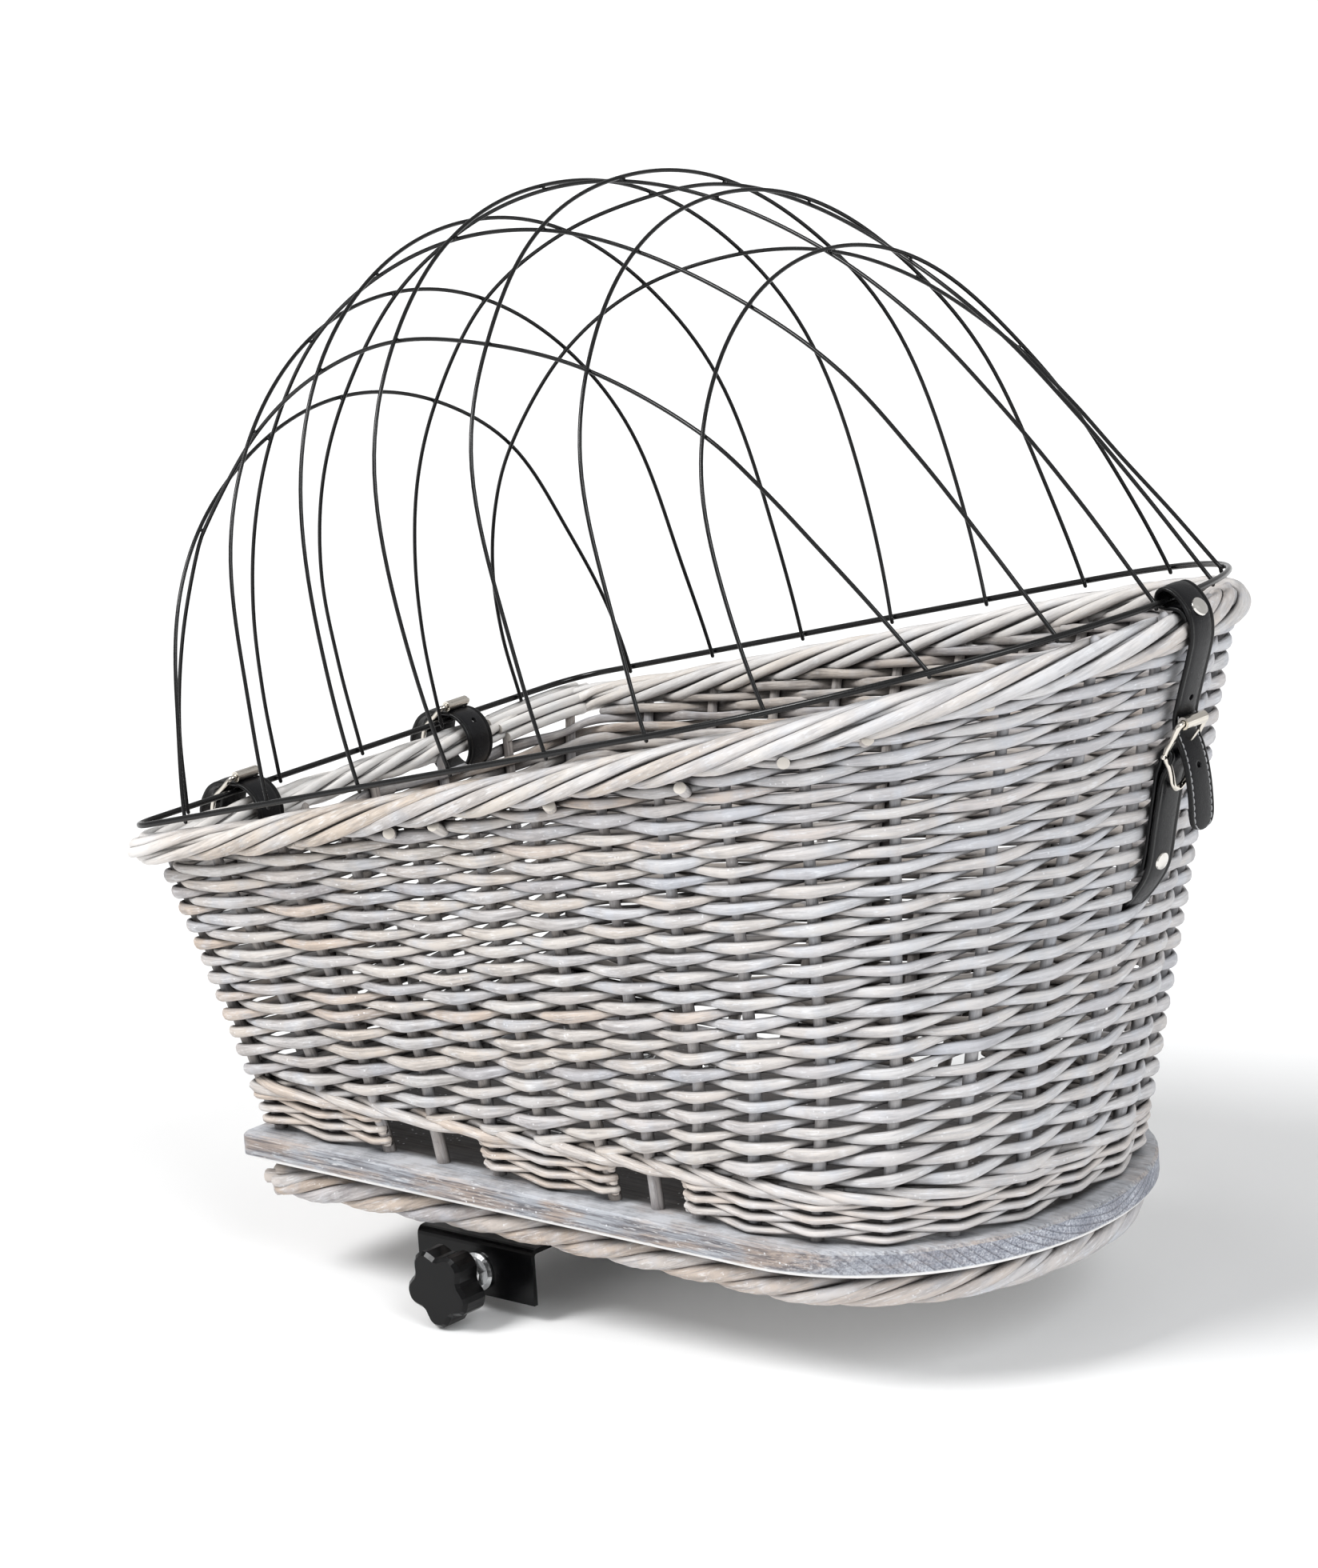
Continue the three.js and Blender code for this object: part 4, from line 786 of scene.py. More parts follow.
def waling():
    """three rods twisted round the stakes over the low openings"""
    g = Build()
    rng = np.random.default_rng(33)
    for strand in range(3):
        for seg in range(4):
            s0, s1 = seg * 8.5, seg * 8.5 + 8.8
            S = np.linspace(s0, s1, int((s1 - s0) * 12))
            ph = 2 * PI * (S + strand) / 3
            z = 65.6 + 1.9 * np.cos(ph) + 0.3 * noise1(len(S), rng, 24)
            v = np.full(S.shape, 0.1)
            for _ in range(4):
                U = stake_u(S, v)
                v = (z - Z_BASE) / ((TOP_SLOPE * T_OUT.at(U)[:, 0] + 219.1) - Z_BASE)
            Pt, Nn = wall_point(U, v), wall_normal(U, v)
            q = np.sin(ph) + 0.25
            depth = 8.6 - 1.0 - 3.9 * np.clip(q, -1, 1.05)
            C = Pt - Nn * depth[:, None]
            r = 2.8 * (1 + 0.05 * rng.normal())
            t = norm(np.gradient(C, axis=0))
            upv = norm(np.cross(Nn, t)); upv *= np.sign(upv[:, 2:3]); n1 = norm(np.cross(upv, t))
            g.sweep(C, n1, upv, r, r, 8, rod=rng.uniform(), tone=rng.uniform(0.2, 1), start=rng.uniform(0, 900), inner=outward)
    return g


# ------------------------------------------------------------------ borders
def border(spec, zfun, count, span, a, b, r, w0, seed, thin=0.0, doubles=0.0, start_in=0.35):
    g = Build()
    rng = np.random.default_rng(seed)
    o = Outline(**spec)
    steps = 46
    for k in range(count):
        f0 = 2.0 * k / count
        length = 2.0 * span / count
        n_rods = 2 if rng.uniform() < doubles else 1
        for d in range(n_rods):
            f = np.linspace(f0, f0 + length, steps)
            U = f
            xy = o.at(U)
            e = 0.003
            tan2 = norm(o.at(U + e) - o.at(U - e))
            nrm = np.stack([tan2[:, 1], -tan2[:, 0], np.zeros(steps)], -1)
            cen = xy - np.array([90.0, 0])
            sg = np.sign(nrm[:, 0] * cen[:, 0] + nrm[:, 1] * cen[:, 1])
            nrm *= sg[:, None]
            base = np.concatenate([xy, zfun(xy[:, 0])[:, None]], -1)
            q = (f - f0) / length
            w = w0 + 2 * PI * q + 0.10 * rng.normal()
            k1 = 1 - thin * forward(xy[:, 0])
            rr = r * (1.08 - 0.20 * q) * (1 + 0.04 * rng.normal())
            if n_rods == 2:
                rr = rr * 0.72
                w = w + (0.36 if d else -0.30)
            # tucked in at both ends
            tuck = np.minimum(smoothstep(q, 0.0, 0.16), smoothstep(1 - q, 0.0, 0.12))
            reach = start_in + (1 - start_in) * tuck
            wob = 1 + 0.035 * noise1(steps, rng, 8)
            R1, R2 = (a - rr) * reach * k1 * wob, (b - rr) * reach * k1 * wob
            C = base + nrm * (R1 * np.cos(w))[:, None]
            C[:, 2] += R2 * np.sin(w)
            rr = rr * k1 * (0.8 + 0.2 * tuck)
            radial = norm(nrm * np.cos(w)[:, None] + np.array([0, 0, 1.0]) * np.sin(w)[:, None])
            t = norm(np.gradient(C, axis=0))
            n2 = norm(np.cross(radial, t)); n1 = norm(np.cross(t, n2))
            g.sweep(C, n1, n2, rr * 0.94, rr * 1.05, 10, rod=rng.uniform(), tone=rng.uniform(), caps=("flat", "flat"), start=rng.uniform(0, 900), inner=outward)
    # filling rods in the middle
    for j in range(2):
        U = np.linspace(0, 2, 301)[:-1]
        xy = o.at(U)
        base = np.concatenate([xy, zfun(xy[:, 0])[:, None]], -1)
        side, up = parallel(base, (0, 0, 1))
        g.sweep(base + up * (2.0 if j else -2.0), side, up, max(1.5, a - 2 * r + 0.8), max(1.5, b - 2 * r + 0.5), 8, closed=True, rod=0.3, tone=0.4)
    return g


def rod_ends(lines, seed):
    """straight rods that run out of a border and end in a plain cut"""
    g = Build()
    rng = np.random.default_rng(seed)
    for a, b, r in lines:
        a, b = np.array(a, float), np.array(b, float)
        q = np.linspace(0, 1, 9)[:, None]
        line = a + (b - a) * q
        line[:, 2] += 0.9 * np.sin(PI * q[:, 0])
        side, up = parallel(line, (0, 0, 1))
        rr = r * (0.9 + 0.1 * q[:, 0])
        g.sweep(line, side, up, rr * 0.92, rr, 12, rod=rng.uniform(), tone=rng.uniform(0.25, 0.6), caps=("flat", "flat"), start=rng.uniform(0, 900), inner=outward)
    return g


rim_z = lambda x: TOP_SLOPE * x + TOP_Z0 - 14.6 + (14.6 - 11.4) * forward(x)
foot_z = lambda x: 19.2 - 2 * forward(np.asarray(x) + 30) - 3.0 * smoothstep(-np.asarray(x, float), -10, 100)

BUILD_WALL = weave_rows()
for i_, g_ in enumerate(BUILD_WALL):
    g_.make(f"weave_rows_{i_ + 1}", WILLOW, "basket", "willow", replaces=("wicker_wall",) if i_ == 0 else ())
stakes().make("wall_stakes", WILLOW_STAKE, "basket", "willow")
band().make("bottom_band", WILLOW_BAND, "basket", "willow")
stake_ends().make("stake_ends", WILLOW_RIM, "basket", "willow")
rod_ends([((-146.5, 92, 199.5), (-147.0, 171.0, 201.0), 3.0), ((-142.6, 96, 196.5), (-141.5, 167.5, 198.6), 2.9), ((-151.5, 98, 200.0), (-152.0, 168.0, 201.6), 2.9),
          ((-140.6, 100, 191.5), (-138.5, 163.0, 194.0), 2.8)], 51).make("rim_rod_ends", WILLOW_RIM, "basket", "willow_rim")
rod_ends([((-84, -110.6, 18.6), (-127.6, -113.0, 16.4), 3.7), ((-84, -108.0, 17.0), (-122.0, -112.8, 10.6), 3.6)], 53).make("foot_rod_ends", WILLOW_FOOT, "basket", "willow_foot")
waling().make("waling_rods", WILLOW_BAND, "basket", "willow")
border(RIM, rim_z, 42, 6.1, 10.5, 9.6, 2.95, -0.62 * PI, 3, thin=0.14).make("rim_rods", WILLOW_RIM, "basket", "willow_rim", replaces=("rim_border",))
border(FOOT, foot_z, 34, 3.7, 9.7, 9.1, 4.6, 0.62 * PI, 4, doubles=0.15).make("foot_rods", WILLOW_FOOT, "basket", "willow_foot", replaces=("foot_border",))


# ------------------------------------------------------------------ wire dome
def catmull(points, closed=False):
    P = np.asarray(points, float)
    n = len(P)

    def at(t):
        t = np.atleast_1d(np.asarray(t, float))
        out = []
        for q in t:
            p = (n if closed else n - 1) * q
            i = int(math.floor(p)); w = p - i
            if not closed and w == 0 and i == n - 1:
                i, w = n - 2, 1.0
            g = (lambda k: P[k % n]) if closed else (lambda k: P[k] if 0 <= k < n else (2 * P[0] - P[1] if k < 0 else 2 * P[-1] - P[-2]))
            p0, p1, p2, p3 = g(i - 1), g(i), g(i + 1), g(i + 2)
            d0, d1, d2 = (np.sum((b_ - a_) ** 2) ** 0.25 for a_, b_ in ((p0, p1), (p1, p2), (p2, p3)))
            if d1 < 1e-4: d1 = 1.0
            if d0 < 1e-4: d0 = d1
            if d2 < 1e-4: d2 = d1
            t1 = ((p1 - p0) / d0 - (p2 - p0) / (d0 + d1) + (p2 - p1) / d1) * d1
            t2 = ((p2 - p1) / d1 - (p3 - p1) / (d1 + d2) + (p3 - p2) / d2) * d1
            c0, c1, c2, c3 = p1, t1, -3 * p1 + 3 * p2 - 2 * t1 - t2, 2 * p1 - 2 * p2 + t1 + t2
            out.append(c0 + c1 * w + c2 * w * w + c3 * w ** 3)
        return np.array(out)
    return at


def even(points, step, closed=False, fine=12):
    n = len(points)
    at = catmull(points, closed)
    t = np.linspace(0, 1, (n if closed else n - 1) * fine + 1)
    p = at(t)
    s = np.concatenate([[0], np.cumsum(np.linalg.norm(np.diff(p, axis=0), axis=1))])
    m = max(3, int(round(s[-1] / step)) + 1)
    q = np.linspace(0, s[-1], m)
    r = np.stack([np.interp(q, s, p[:, k]) for k in range(3)], -1)
    return r[:-1] if closed else r


T_HOOPS = [
    (-17.74, -21.18, 12.92, [0.977, 1.003, 1.019, 1.009, 1.001, 1.004, 1.003, 0.967, 0.974]),
    (-12.02, -17.09, 18.53, [1.003, 1.048, 1.052, 1.031, 0.998, 1.017, 1.036, 1.034, 0.989]),
    (-5.89, -11.69, 22.39, [1.042, 1.093, 1.09, 1.051, 1.0, 1.028, 1.055, 1.069, 1.021]),
    (0.01, -6.57, 24.42, [1.066, 1.125, 1.097, 1.052, 1.0, 1.052, 1.099, 1.126, 1.069]),
    (6.07, -1.37, 25.02, [1.033, 1.092, 1.066, 1.038, 1.005, 1.055, 1.097, 1.126, 1.065]),
    (12.22, 4.38, 24.52, [1.001, 1.048, 1.043, 1.025, 1.003, 1.025, 1.037, 1.044, 1.005]),
    (18.38, 10.94, 22.55, [1.026, 1.061, 1.047, 1.022, 0.995, 0.977, 0.951, 0.949, 0.959])]
T_ANGLES = [15, 30, 45, 60, 90, 120, 135, 150, 165]
MEET = [[47.5, 70.4, 90, 113.0, 132.8], [48.4, 67.8, 90, 111.8, 131.1], [46.9, 65.9, 90, 112.6, 130.9], [46.4, 66.6, 90, 115.3, 134.3],
        [46.0, 67.9, 90, 113.7, 135.4], [44.4, 67.3, 90, 111.7, 135.0], [38.2, 64.9, 90, 110.7, 137.5]]
L_HOOPS = [
    (-12.6, -11.34, [[-22.13, -12.15, -1.29], [-21.75, -11.73, 3.29], [-20.32, -11.52, 7.86]], [[16.41, -12.31, 14.01], [19.15, -11.99, 11.52], [21.8, -11.66, 9.01]]),
    (-6.02, -6.07, [[-22.38, -5.94, -1.04], [-22.65, -5.86, 3.24], [-22.1, -5.78, 7.6]], [[16.44, -6.49, 18.3], [20.43, -6.35, 14.79], [24.01, -6.21, 11.04]]),
    (0, 0, [[-22.77, 0, -0.92], [-23.47, 0, 3.59], [-22.91, 0, 8.28]], [[16.11, 0, 19.33], [20.62, 0, 15.62], [24.69, 0, 11.67]]),
    (6.02, 6.07, [[-22.5, 6.09, -0.91], [-22.72, 6.16, 3.21], [-22.18, 6.23, 7.4]], [[16.18, 5.48, 18.01], [20.17, 5.68, 14.56], [23.84, 5.87, 10.93]]),
    (12.16, 11.34, [[-22.38, 11.97, -2.15], [-22.55, 11.77, 1.31], [-21.88, 11.58, 4.86]], [[16.28, 10.89, 13.6], [18.92, 11.04, 11.1], [21.61, 11.19, 8.67]])]
FOOT_IN, FOOT_DOWN, CROSS, WIRE_R, RING_R = 2.82, 2.2, 2.36, 1.0, 1.5
toM = lambda p: np.array([10 * (p[0] + 6.65), 10 * p[1], 10 * (p[2] + 26.1)])
ring_z = lambda x: RING_SLOPE * x + RING_Z0


def ring_y(x):
    if x > RING["xs"]:
        return RING["w"] * math.sqrt(max(0, 1 - ((x - RING["xs"]) / RING["rear"]) ** 2))
    d, c = x - RING["front"], RING["c"]
    return RING["w"] if d >= c else RING["w"] - c + math.sqrt(max(0, c * c - (c - d) ** 2))


def ring_front_x(y):
    s = abs(y) - (RING["w"] - RING["c"])
    return RING["front"] if s <= 0 else RING["front"] + RING["c"] - math.sqrt(RING["c"] ** 2 - s * s)


ring_rear_x = lambda y: RING["xs"] + RING["rear"] * math.sqrt(1 - (y / RING["w"]) ** 2)


def inside(x, y):
    e, s = 0.5, (1.0 if y > 0 else -1.0)
    if abs(y) < 1e-6:
        t = (0.0, 1.0)
    elif abs(y) > 150:
        t = (2 * e, s * (ring_y(x + e) - ring_y(x - e)))
    elif x < -60:
        t = (ring_front_x(y + e) - ring_front_x(y - e), 2 * e)
    else:
        t = (ring_rear_x(y + e) - ring_rear_x(y - e), 2 * e)
    l = math.hypot(*t)
    n = (-t[1] / l, t[0] / l)
    if n[0] * (60 - x) + n[1] * (0 - y) < 0:
        n = (-n[0], -n[1])
    px, py = x + n[0] * FOOT_IN, y + n[1] * FOOT_IN
    return np.array([px, py, ring_z(px)])


def natural(xs, ys):
    n = len(xs)
    a, h = list(ys), [xs[i + 1] - xs[i] for i in range(n - 1)]
    al, c, l, mu, z = [0] * n, [0.0] * n, [1.0] * n, [0.0] * n, [0.0] * n
    b, d = [0.0] * n, [0.0] * n
    for i in range(1, n - 1):
        al[i] = 3 / h[i] * (a[i + 1] - a[i]) - 3 / h[i - 1] * (a[i] - a[i - 1])
    for i in range(1, n - 1):
        l[i] = 2 * (xs[i + 1] - xs[i - 1]) - h[i - 1] * mu[i - 1]
        mu[i] = h[i] / l[i]
        z[i] = (al[i] - h[i - 1] * z[i - 1]) / l[i]
    for j in range(n - 2, -1, -1):
        c[j] = z[j] - mu[j] * c[j + 1]
        b[j] = (a[j + 1] - a[j]) / h[j] - h[j] * (c[j + 1] + 2 * c[j]) / 3
        d[j] = (c[j + 1] - c[j]) / (3 * h[j])

    def f(x):
        i = 0
        while i < n - 2 and x > xs[i + 1]:
            i += 1
        t = x - xs[i]
        return a[i] + b[i] * t + c[i] * t * t + d[i] * t ** 3
    return f


def cross_hoop(h):
    x = 10 * (h[0] + 6.65)
    foot = inside(x, -ring_y(x)); w = -foot[1]
    base, apex = np.array([foot[0], 0, foot[2]]), toM((h[1], 0, h[2]))
    r = natural([0, *T_ANGLES, 180], [1, *h[3], 1])

    def at(deg):
        a = math.radians(deg); k = r(deg)
        p = base + (apex - base) * k * math.sin(a)
        p[1] = -k * math.cos(a) * w
        return p
    return at, norm(apex - base)


def dome():
    hoops = [cross_hoop(h) for h in T_HOOPS]
    beads = []
    ring_o = Outline(**RING)
    U = np.linspace(0, 2, 421)[:-1]
    xy = ring_o.at(U)
    pts = np.concatenate([xy, ring_z(xy[:, 0])[:, None]], -1)
    g = Build()
    side, up = parallel(np.vstack([pts[-1:], pts, pts[:1]]), (0, 0, 1))
    g.sweep(pts, side[1:-1], up[1:-1], RING_R, RING_R, 14, closed=True)
    g.make("ring_wire_piece", WIRE, "lid", "ring_wire", replaces=("dome_ring",))
    for i, (at, up) in enumerate(hoops):
        deg = np.linspace(0, 180, 97)
        pts = np.array([at(d) for d in deg])
        pts = np.vstack([pts[:1] - up * FOOT_DOWN, pts, pts[-1:] - up * FOOT_DOWN])
        g = Build()
        n1, n2 = parallel(pts, norm(np.array([1, 0, 0.25])))
        g.sweep(pts, n1, n2, WIRE_R, WIRE_R, 12)
        g.make(f"cross_wire_{i + 1}", WIRE, "lid", "hoop_wire", replaces=(f"cross_hoop_{i + 1}",))
        for d in (0, 180):
            foot = at(d)
            near = np.argmin(np.linalg.norm(ring_pts_all - foot, axis=1))
            beads.append((foot, ring_pts_all[near], 1.15))
    for k, spec in enumerate(L_HOOPS):
        cross = []
        for i, (at, _) in enumerate(hoops):
            d = MEET[i][k]
            cross.append((at(d), norm(at(d + 1) - at(d - 1))))
        under = []
        for i, (p, t) in enumerate(cross):
            a, b = cross[max(0, i - 1)][0], cross[min(6, i + 1)][0]
            n = norm(np.cross(t, norm(b - a)))
            if np.dot(n, np.array([80, 0, 280]) - p) < 0:
                n = -n
            under.append(p + n * CROSS)
            beads.append((p, p + n * CROSS, 0.95))
        ya, yb = 10 * spec[0], 10 * spec[1]
        f, r = inside(ring_front_x(ya), ya), inside(ring_rear_x(yb), yb)
        ctrl = [f, *[toM(q) for q in spec[2]], *under, *[toM(q) for q in spec[3]], r]
        pts = even(ctrl, 4.5)
        nrm = norm(np.array([-RING_SLOPE, 0, 1]))
        pts = np.vstack([f - nrm * FOOT_DOWN, pts, r - nrm * FOOT_DOWN])
        g = Build()
        n1, n2 = parallel(pts, (0, 1, 0))
        g.sweep(pts, n1, n2, WIRE_R, WIRE_R, 12)
        g.make(f"long_wire_{k + 1}", WIRE, "lid", "hoop_wire", replaces=(f"long_hoop_{k + 1}",))
        for foot in (f, r):
            near = np.argmin(np.linalg.norm(ring_pts_all - foot, axis=1))
            beads.append((foot, ring_pts_all[near], 1.15))
    # small weld fillets where wires meet
    g = Build()
    for a, b, r in beads:
        d = norm(b - a)
        line = np.linspace(0.18, 0.82, 5)[:, None] * (b - a)[None] + a[None]
        h = np.array([0, 0, 1.0]) if abs(d[2]) < 0.9 else np.array([1.0, 0, 0])
        n1 = norm(np.cross(d, h)); n2 = norm(np.cross(n1, d))
        rr = r * np.array([1.12, 0.98, 0.9, 0.98, 1.12])
        g.sweep(line, np.repeat(n1[None], 5, 0), np.repeat(n2[None], 5, 0), rr, rr, 10, caps=("round", "round"))
    g.make("wire_welds", WIRE, "lid", "hoop_wire")


_ro = Outline(**RING)
_rxy = _ro.at(np.linspace(0, 2, 2001))
ring_pts_all = np.concatenate([_rxy, ring_z(_rxy[:, 0])[:, None]], -1)
dome()

# ------------------------------------------------------------------ straps and buckles
def strap_path(line, step=1.3):
    pts = np.array([(x, 0, z) for x, z in line], float)
    return even(pts, step)


def strap_piece(name, line, y0, half, tip, body, replaces, face=1, holes=(), stitch=(0, 0), tone=0.5, cap0=True):
    """line in X and Z; face = +1 when the finished face is on the left normal's side"""
    p = strap_path(line)
    m = len(p)
    t = norm(np.gradient(p, axis=0))
    n = np.stack([-t[:, 2], np.zeros(m), t[:, 0]], -1) * face
    s = np.concatenate([[0], np.cumsum(np.linalg.norm(np.diff(p, axis=0), axis=1))])
    left = s[-1] - s
    k = np.ones(m)
    if tip:
        q = np.clip((tip - left) / tip, 0, 0.995)
        k = (1 - q ** 2.7) ** (1 / 2.7)
    # section: finished face with padded middle, sewing groove and turned edge; flat back
    ys = np.array([-1, -.985, -.94, -.88, -.80, -.735, -.66, -.5, -.25, 0, .25, .5, .66, .735, .80, .88, .94, .985, 1])
    hs = np.array([.35, .72, .98, 1.08, 1.02, .70, .98, 1.22, 1.34, 1.38, 1.34, 1.22, .98, .70, 1.02, 1.08, .98, .72, .35])
    yb = np.array([1, .97, .9, .5, 0, -.5, -.9, -.97, -1])
    hb = np.array([-.5, -.85, -1, -1, -1, -1, -1, -.85, -.5])
    Y = np.concatenate([ys, yb]); H = np.concatenate([hs, hb])
    c = len(Y)
    scale = np.clip(k, 0.06, 1)
    V = p[:, None, :] + n[:, None, :] * (H[None, :, None] * np.clip(0.55 + 0.45 * k, 0, 1)[:, None, None])
    V[:, :, 1] += y0 + (Y[None] * half) * scale[:, None]
    V = V.reshape(-1, 3)
    i = np.arange(m - 1); j = np.arange(c)
    a = (i[:, None] * c + j).ravel(); b = (i[:, None] * c + (j + 1) % c).ravel()
    d = ((i[:, None] + 1) * c + j).ravel(); e = ((i[:, None] + 1) * c + (j + 1) % c).ravel()
    Q = np.stack([a, b, e, d], -1)
    T = []
    for side in (0, m - 1):
        base = side * c
        # strip across: pair finished face points with back points
        fan = [[base + q, base + q + 1, base + c - 1] for q in range(0, c - 2)]
        fan = np.array(fan)
        T.append(fan if side else fan[:, ::-1])
    T = np.vstack(T)
    att = np.zeros((len(V), 6)); att[:, 1] = tone; att[:, 2] = np.repeat(s, c) * 0.001
    att[:, 4] = np.tile((np.abs(Y) > 0.72).astype(float), m)
    g = Build(); g.add(V, Q, T, att)
    ob = g.make(name, LEATHER, body, "leather", replaces=replaces)
    bpy.context.view_layer.update()
    import bmesh
    bm = bmesh.new(); bm.from_mesh(ob.data); bmesh.ops.recalc_face_normals(bm, faces=bm.faces); bm.to_mesh(ob.data); bm.free()
    # holes punched through
    for (hx, hz, nx, nz, r) in holes:
        l = math.hypot(nx, nz)
        cyl = cylinder("tmp_punch", (hx - nx / l * 5, y0, hz - nz / l * 5), (hx + nx / l * 5, y0, hz + nz / l * 5), r, 20)
        md = ob.modifiers.new("punch", "BOOLEAN"); md.operation = "DIFFERENCE"; md.solver = "EXACT"; md.object = cyl
        bpy.context.view_layer.update()
        dg = bpy.context.evaluated_depsgraph_get()
        me = bpy.data.meshes.new_from_object(ob.evaluated_get(dg))
        ob.modifiers.clear()
        old = ob.data
        ob.data = me
        bpy.data.meshes.remove(old)
        bpy.data.objects.remove(cyl)
    # seams: short thread stitches lying in the two grooves
    if stitch[1] > stitch[0]:
        gs = Build()
        for sy in (-0.735, 0.735):
            q = stitch[0]
            while q < min(stitch[1], s[-1] - 1.0):
                seg = np.linspace(q, q + 2.3, 5)
                cx = np.stack([np.interp(seg, s, p[:, 0]), np.zeros(5), np.interp(seg, s, p[:, 2])], -1)
                nn = np.stack([np.interp(seg, s, n[:, 0]), np.zeros(5), np.interp(seg, s, n[:, 2])], -1)
                kk = np.interp(seg, s, scale)
                hgt = np.array([.55, .85, .92, .85, .55])
                C = cx + nn * hgt[:, None]
                C[:, 1] += y0 + sy * half * kk
                side, up = parallel(C, nn)
                gs.sweep(C, side, up, 0.40, 0.34, 6)
                q += 3.2
        gs.make(name + "_stitches", THREAD, body, "leather")
    return ob


def cylinder(name, a, b, r, n=24):
    a, b = np.array(a, float), np.array(b, float)
    g = Build()
    d = norm(b - a)
    h = np.array([0, 0, 1.0]) if abs(d[2]) < 0.9 else np.array([1.0, 0, 0])
    n1 = norm(np.cross(d, h)); n2 = norm(np.cross(d, n1))
    P = np.stack([a, b])
    g.sweep(P, np.repeat(n1[None], 2, 0), np.repeat(n2[None], 2, 0), r, r, n, caps=("flat0", "flat0"))
    V = np.concatenate(g.v) * 0.001
    me = bpy.data.meshes.new(name)
    Q = np.concatenate(g.q); T = np.concatenate(g.t)
    me.from_pydata(V.tolist(), [], Q.tolist() + T.tolist())
    ob = bpy.data.objects.new(name, me)
    bpy.context.scene.collection.objects.link(ob)
    return ob


def arc_line(cx, cz, r, a0, a1, n):
    return [(cx + r * math.cos(math.radians(a0 + (a1 - a0) * i / (n - 1))), cz + r * math.sin(math.radians(a0 + (a1 - a0) * i / (n - 1)))) for i in range(n)]


def buckle_piece(name, bar, roll, toe, y0, half, wire, bow, prong, body, roller_body, node, narrow=1.0):
    d = math.hypot(toe[0] - bar[0], toe[1] - bar[1])
    out = ((bar[1] - toe[1]) / d, (toe[0] - bar[0]) / d)
    mixp = lambda a, b, k: (a[0] + (b[0] - a[0]) * k, a[1] + (b[1] - a[1]) * k)

    def arch(k):
        p = mixp(bar, toe, k); b = bow * math.sin(PI * min(1, k * 0.94))
        return (p[0] + out[0] * b, p[1] + out[1] * b)
    P = lambda q, y: (q[0], y0 + y, q[1])
    nar = lambda a, b: a + (b - a) * (1 - narrow) / 0.14
    side = [P(roll, half - 2.4), P(mixp(roll, bar, 0.03), half - 0.9), P(mixp(roll, bar, 0.12), half * nar(1.0, 0.97)), P(mixp(roll, bar, 0.5), half * nar(1.0, 0.93)), P(bar, half * nar(1.0, 0.85)),
            P(arch(0.3), half * nar(0.97, 0.75)), P(arch(0.55), half * nar(0.86, 0.65)), P(arch(0.78), half * nar(0.68, 0.50)), P(arch(0.93), half * nar(0.42, 0.30)), P(arch(0.99), half * nar(0.19, 0.14))]
    mirror = [(x, 2 * y0 - y, z) for x, y, z in side][::-1]
    loop = [P(roll, 0), *side, P(toe, 0), *mirror]
    pts = even(loop, 0.9, closed=True)
    g = Build()
    nrm = norm(np.array([roll[1] - toe[1], 0, toe[0] - roll[0]]))
    ext = np.vstack([pts[-1:], pts, pts[:1]])
    n1, n2 = parallel(ext, nrm)
    g.sweep(pts, n1[1:-1], n2[1:-1], wire, wire * 0.92, 14, closed=True)
    line = np.linspace(0, 1, 9)[:, None] * (np.array(P(bar, half)) - np.array(P(bar, -half)))[None] + np.array(P(bar, -half))[None]
    g.sweep(line, np.repeat([[1.0, 0, 0]], 9, 0), np.repeat([[0, 0, 1.0]], 9, 0), wire * 0.9, wire * 0.9, 14)
    g.make(f"{name}_frame_piece", NICKEL, body, "nickel", replaces=(f"{node}_frame",))
    # rolled tongue
    q = even([(x, y0, z) for x, z in prong], 0.7)
    g = Build()
    n1, n2 = parallel(q, (0, 1, 0))
    taper = np.clip(1.08 - 0.5 * np.linspace(0, 1, len(q)) ** 3, 0.5, 2)
    g.sweep(q, n1, n2, 0.85 * taper, 1.1 * taper, 12)
    g.make(f"{name}_tongue_piece", NICKEL, body, "nickel", replaces=(f"{node}_prong",))


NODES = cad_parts
FRONT = dict(bar=(-163.8, 203.4), roll=(-151.4, 214.4), toe=(-171.2, 188.8))
for side_, y_ in (("right", -82.0), ("left", 74.0)):
    bar_ = FRONT["bar"]
    wrap_ = arc_line(bar_[0], bar_[1], 2.75, -20, 180, 9)[::-1]
    line_ = [(-165.9, 198.9), (-166.5, 200.8), *wrap_, (-161.9, 199.6),
             (-163.0, 194.5), (-162.9, 188.6), (-160.0, 182.4), (-154.2, 179.5), (-147.5, 179.6), (-141.4, 183.2), (-137.2, 188.9), (-135.9, 195),
             (-136.9, 200.8), (-140.3, 206.2), (-145.6, 209.6), (-151.6, 210.6), (-158, 210.4), (-164.4, 209.6), (-170.2, 206.4), (-174.4, 200.9), (-176.9, 194.6), (-178.2, 188.5)]
    strap_piece(f"front_band_{side_}", line_, y_, 8.8, 8, "basket", (f"front_strap_{side_}",), face=-1,
                holes=[(-141.4, 204.9, 0.72, 0.69, 1.5), (-172.4, 203.9, 0.75, 0.66, 1.5)])
    buckle_piece(f"front_{side_}", bar_, FRONT["roll"], FRONT["toe"], y_, 10.4, 1.25, 0,
                 [(-162.3, 200.6), (-164.4, 200.2), (-166.4, 202.0), (-166.0, 204.6), (-163.6, 206.4), (-160.6, 208.6), (-158.9, 211.0), (-157.4, 213.2)],
                 "basket", f"roller_{side_}", f"front_buckle_{side_}")
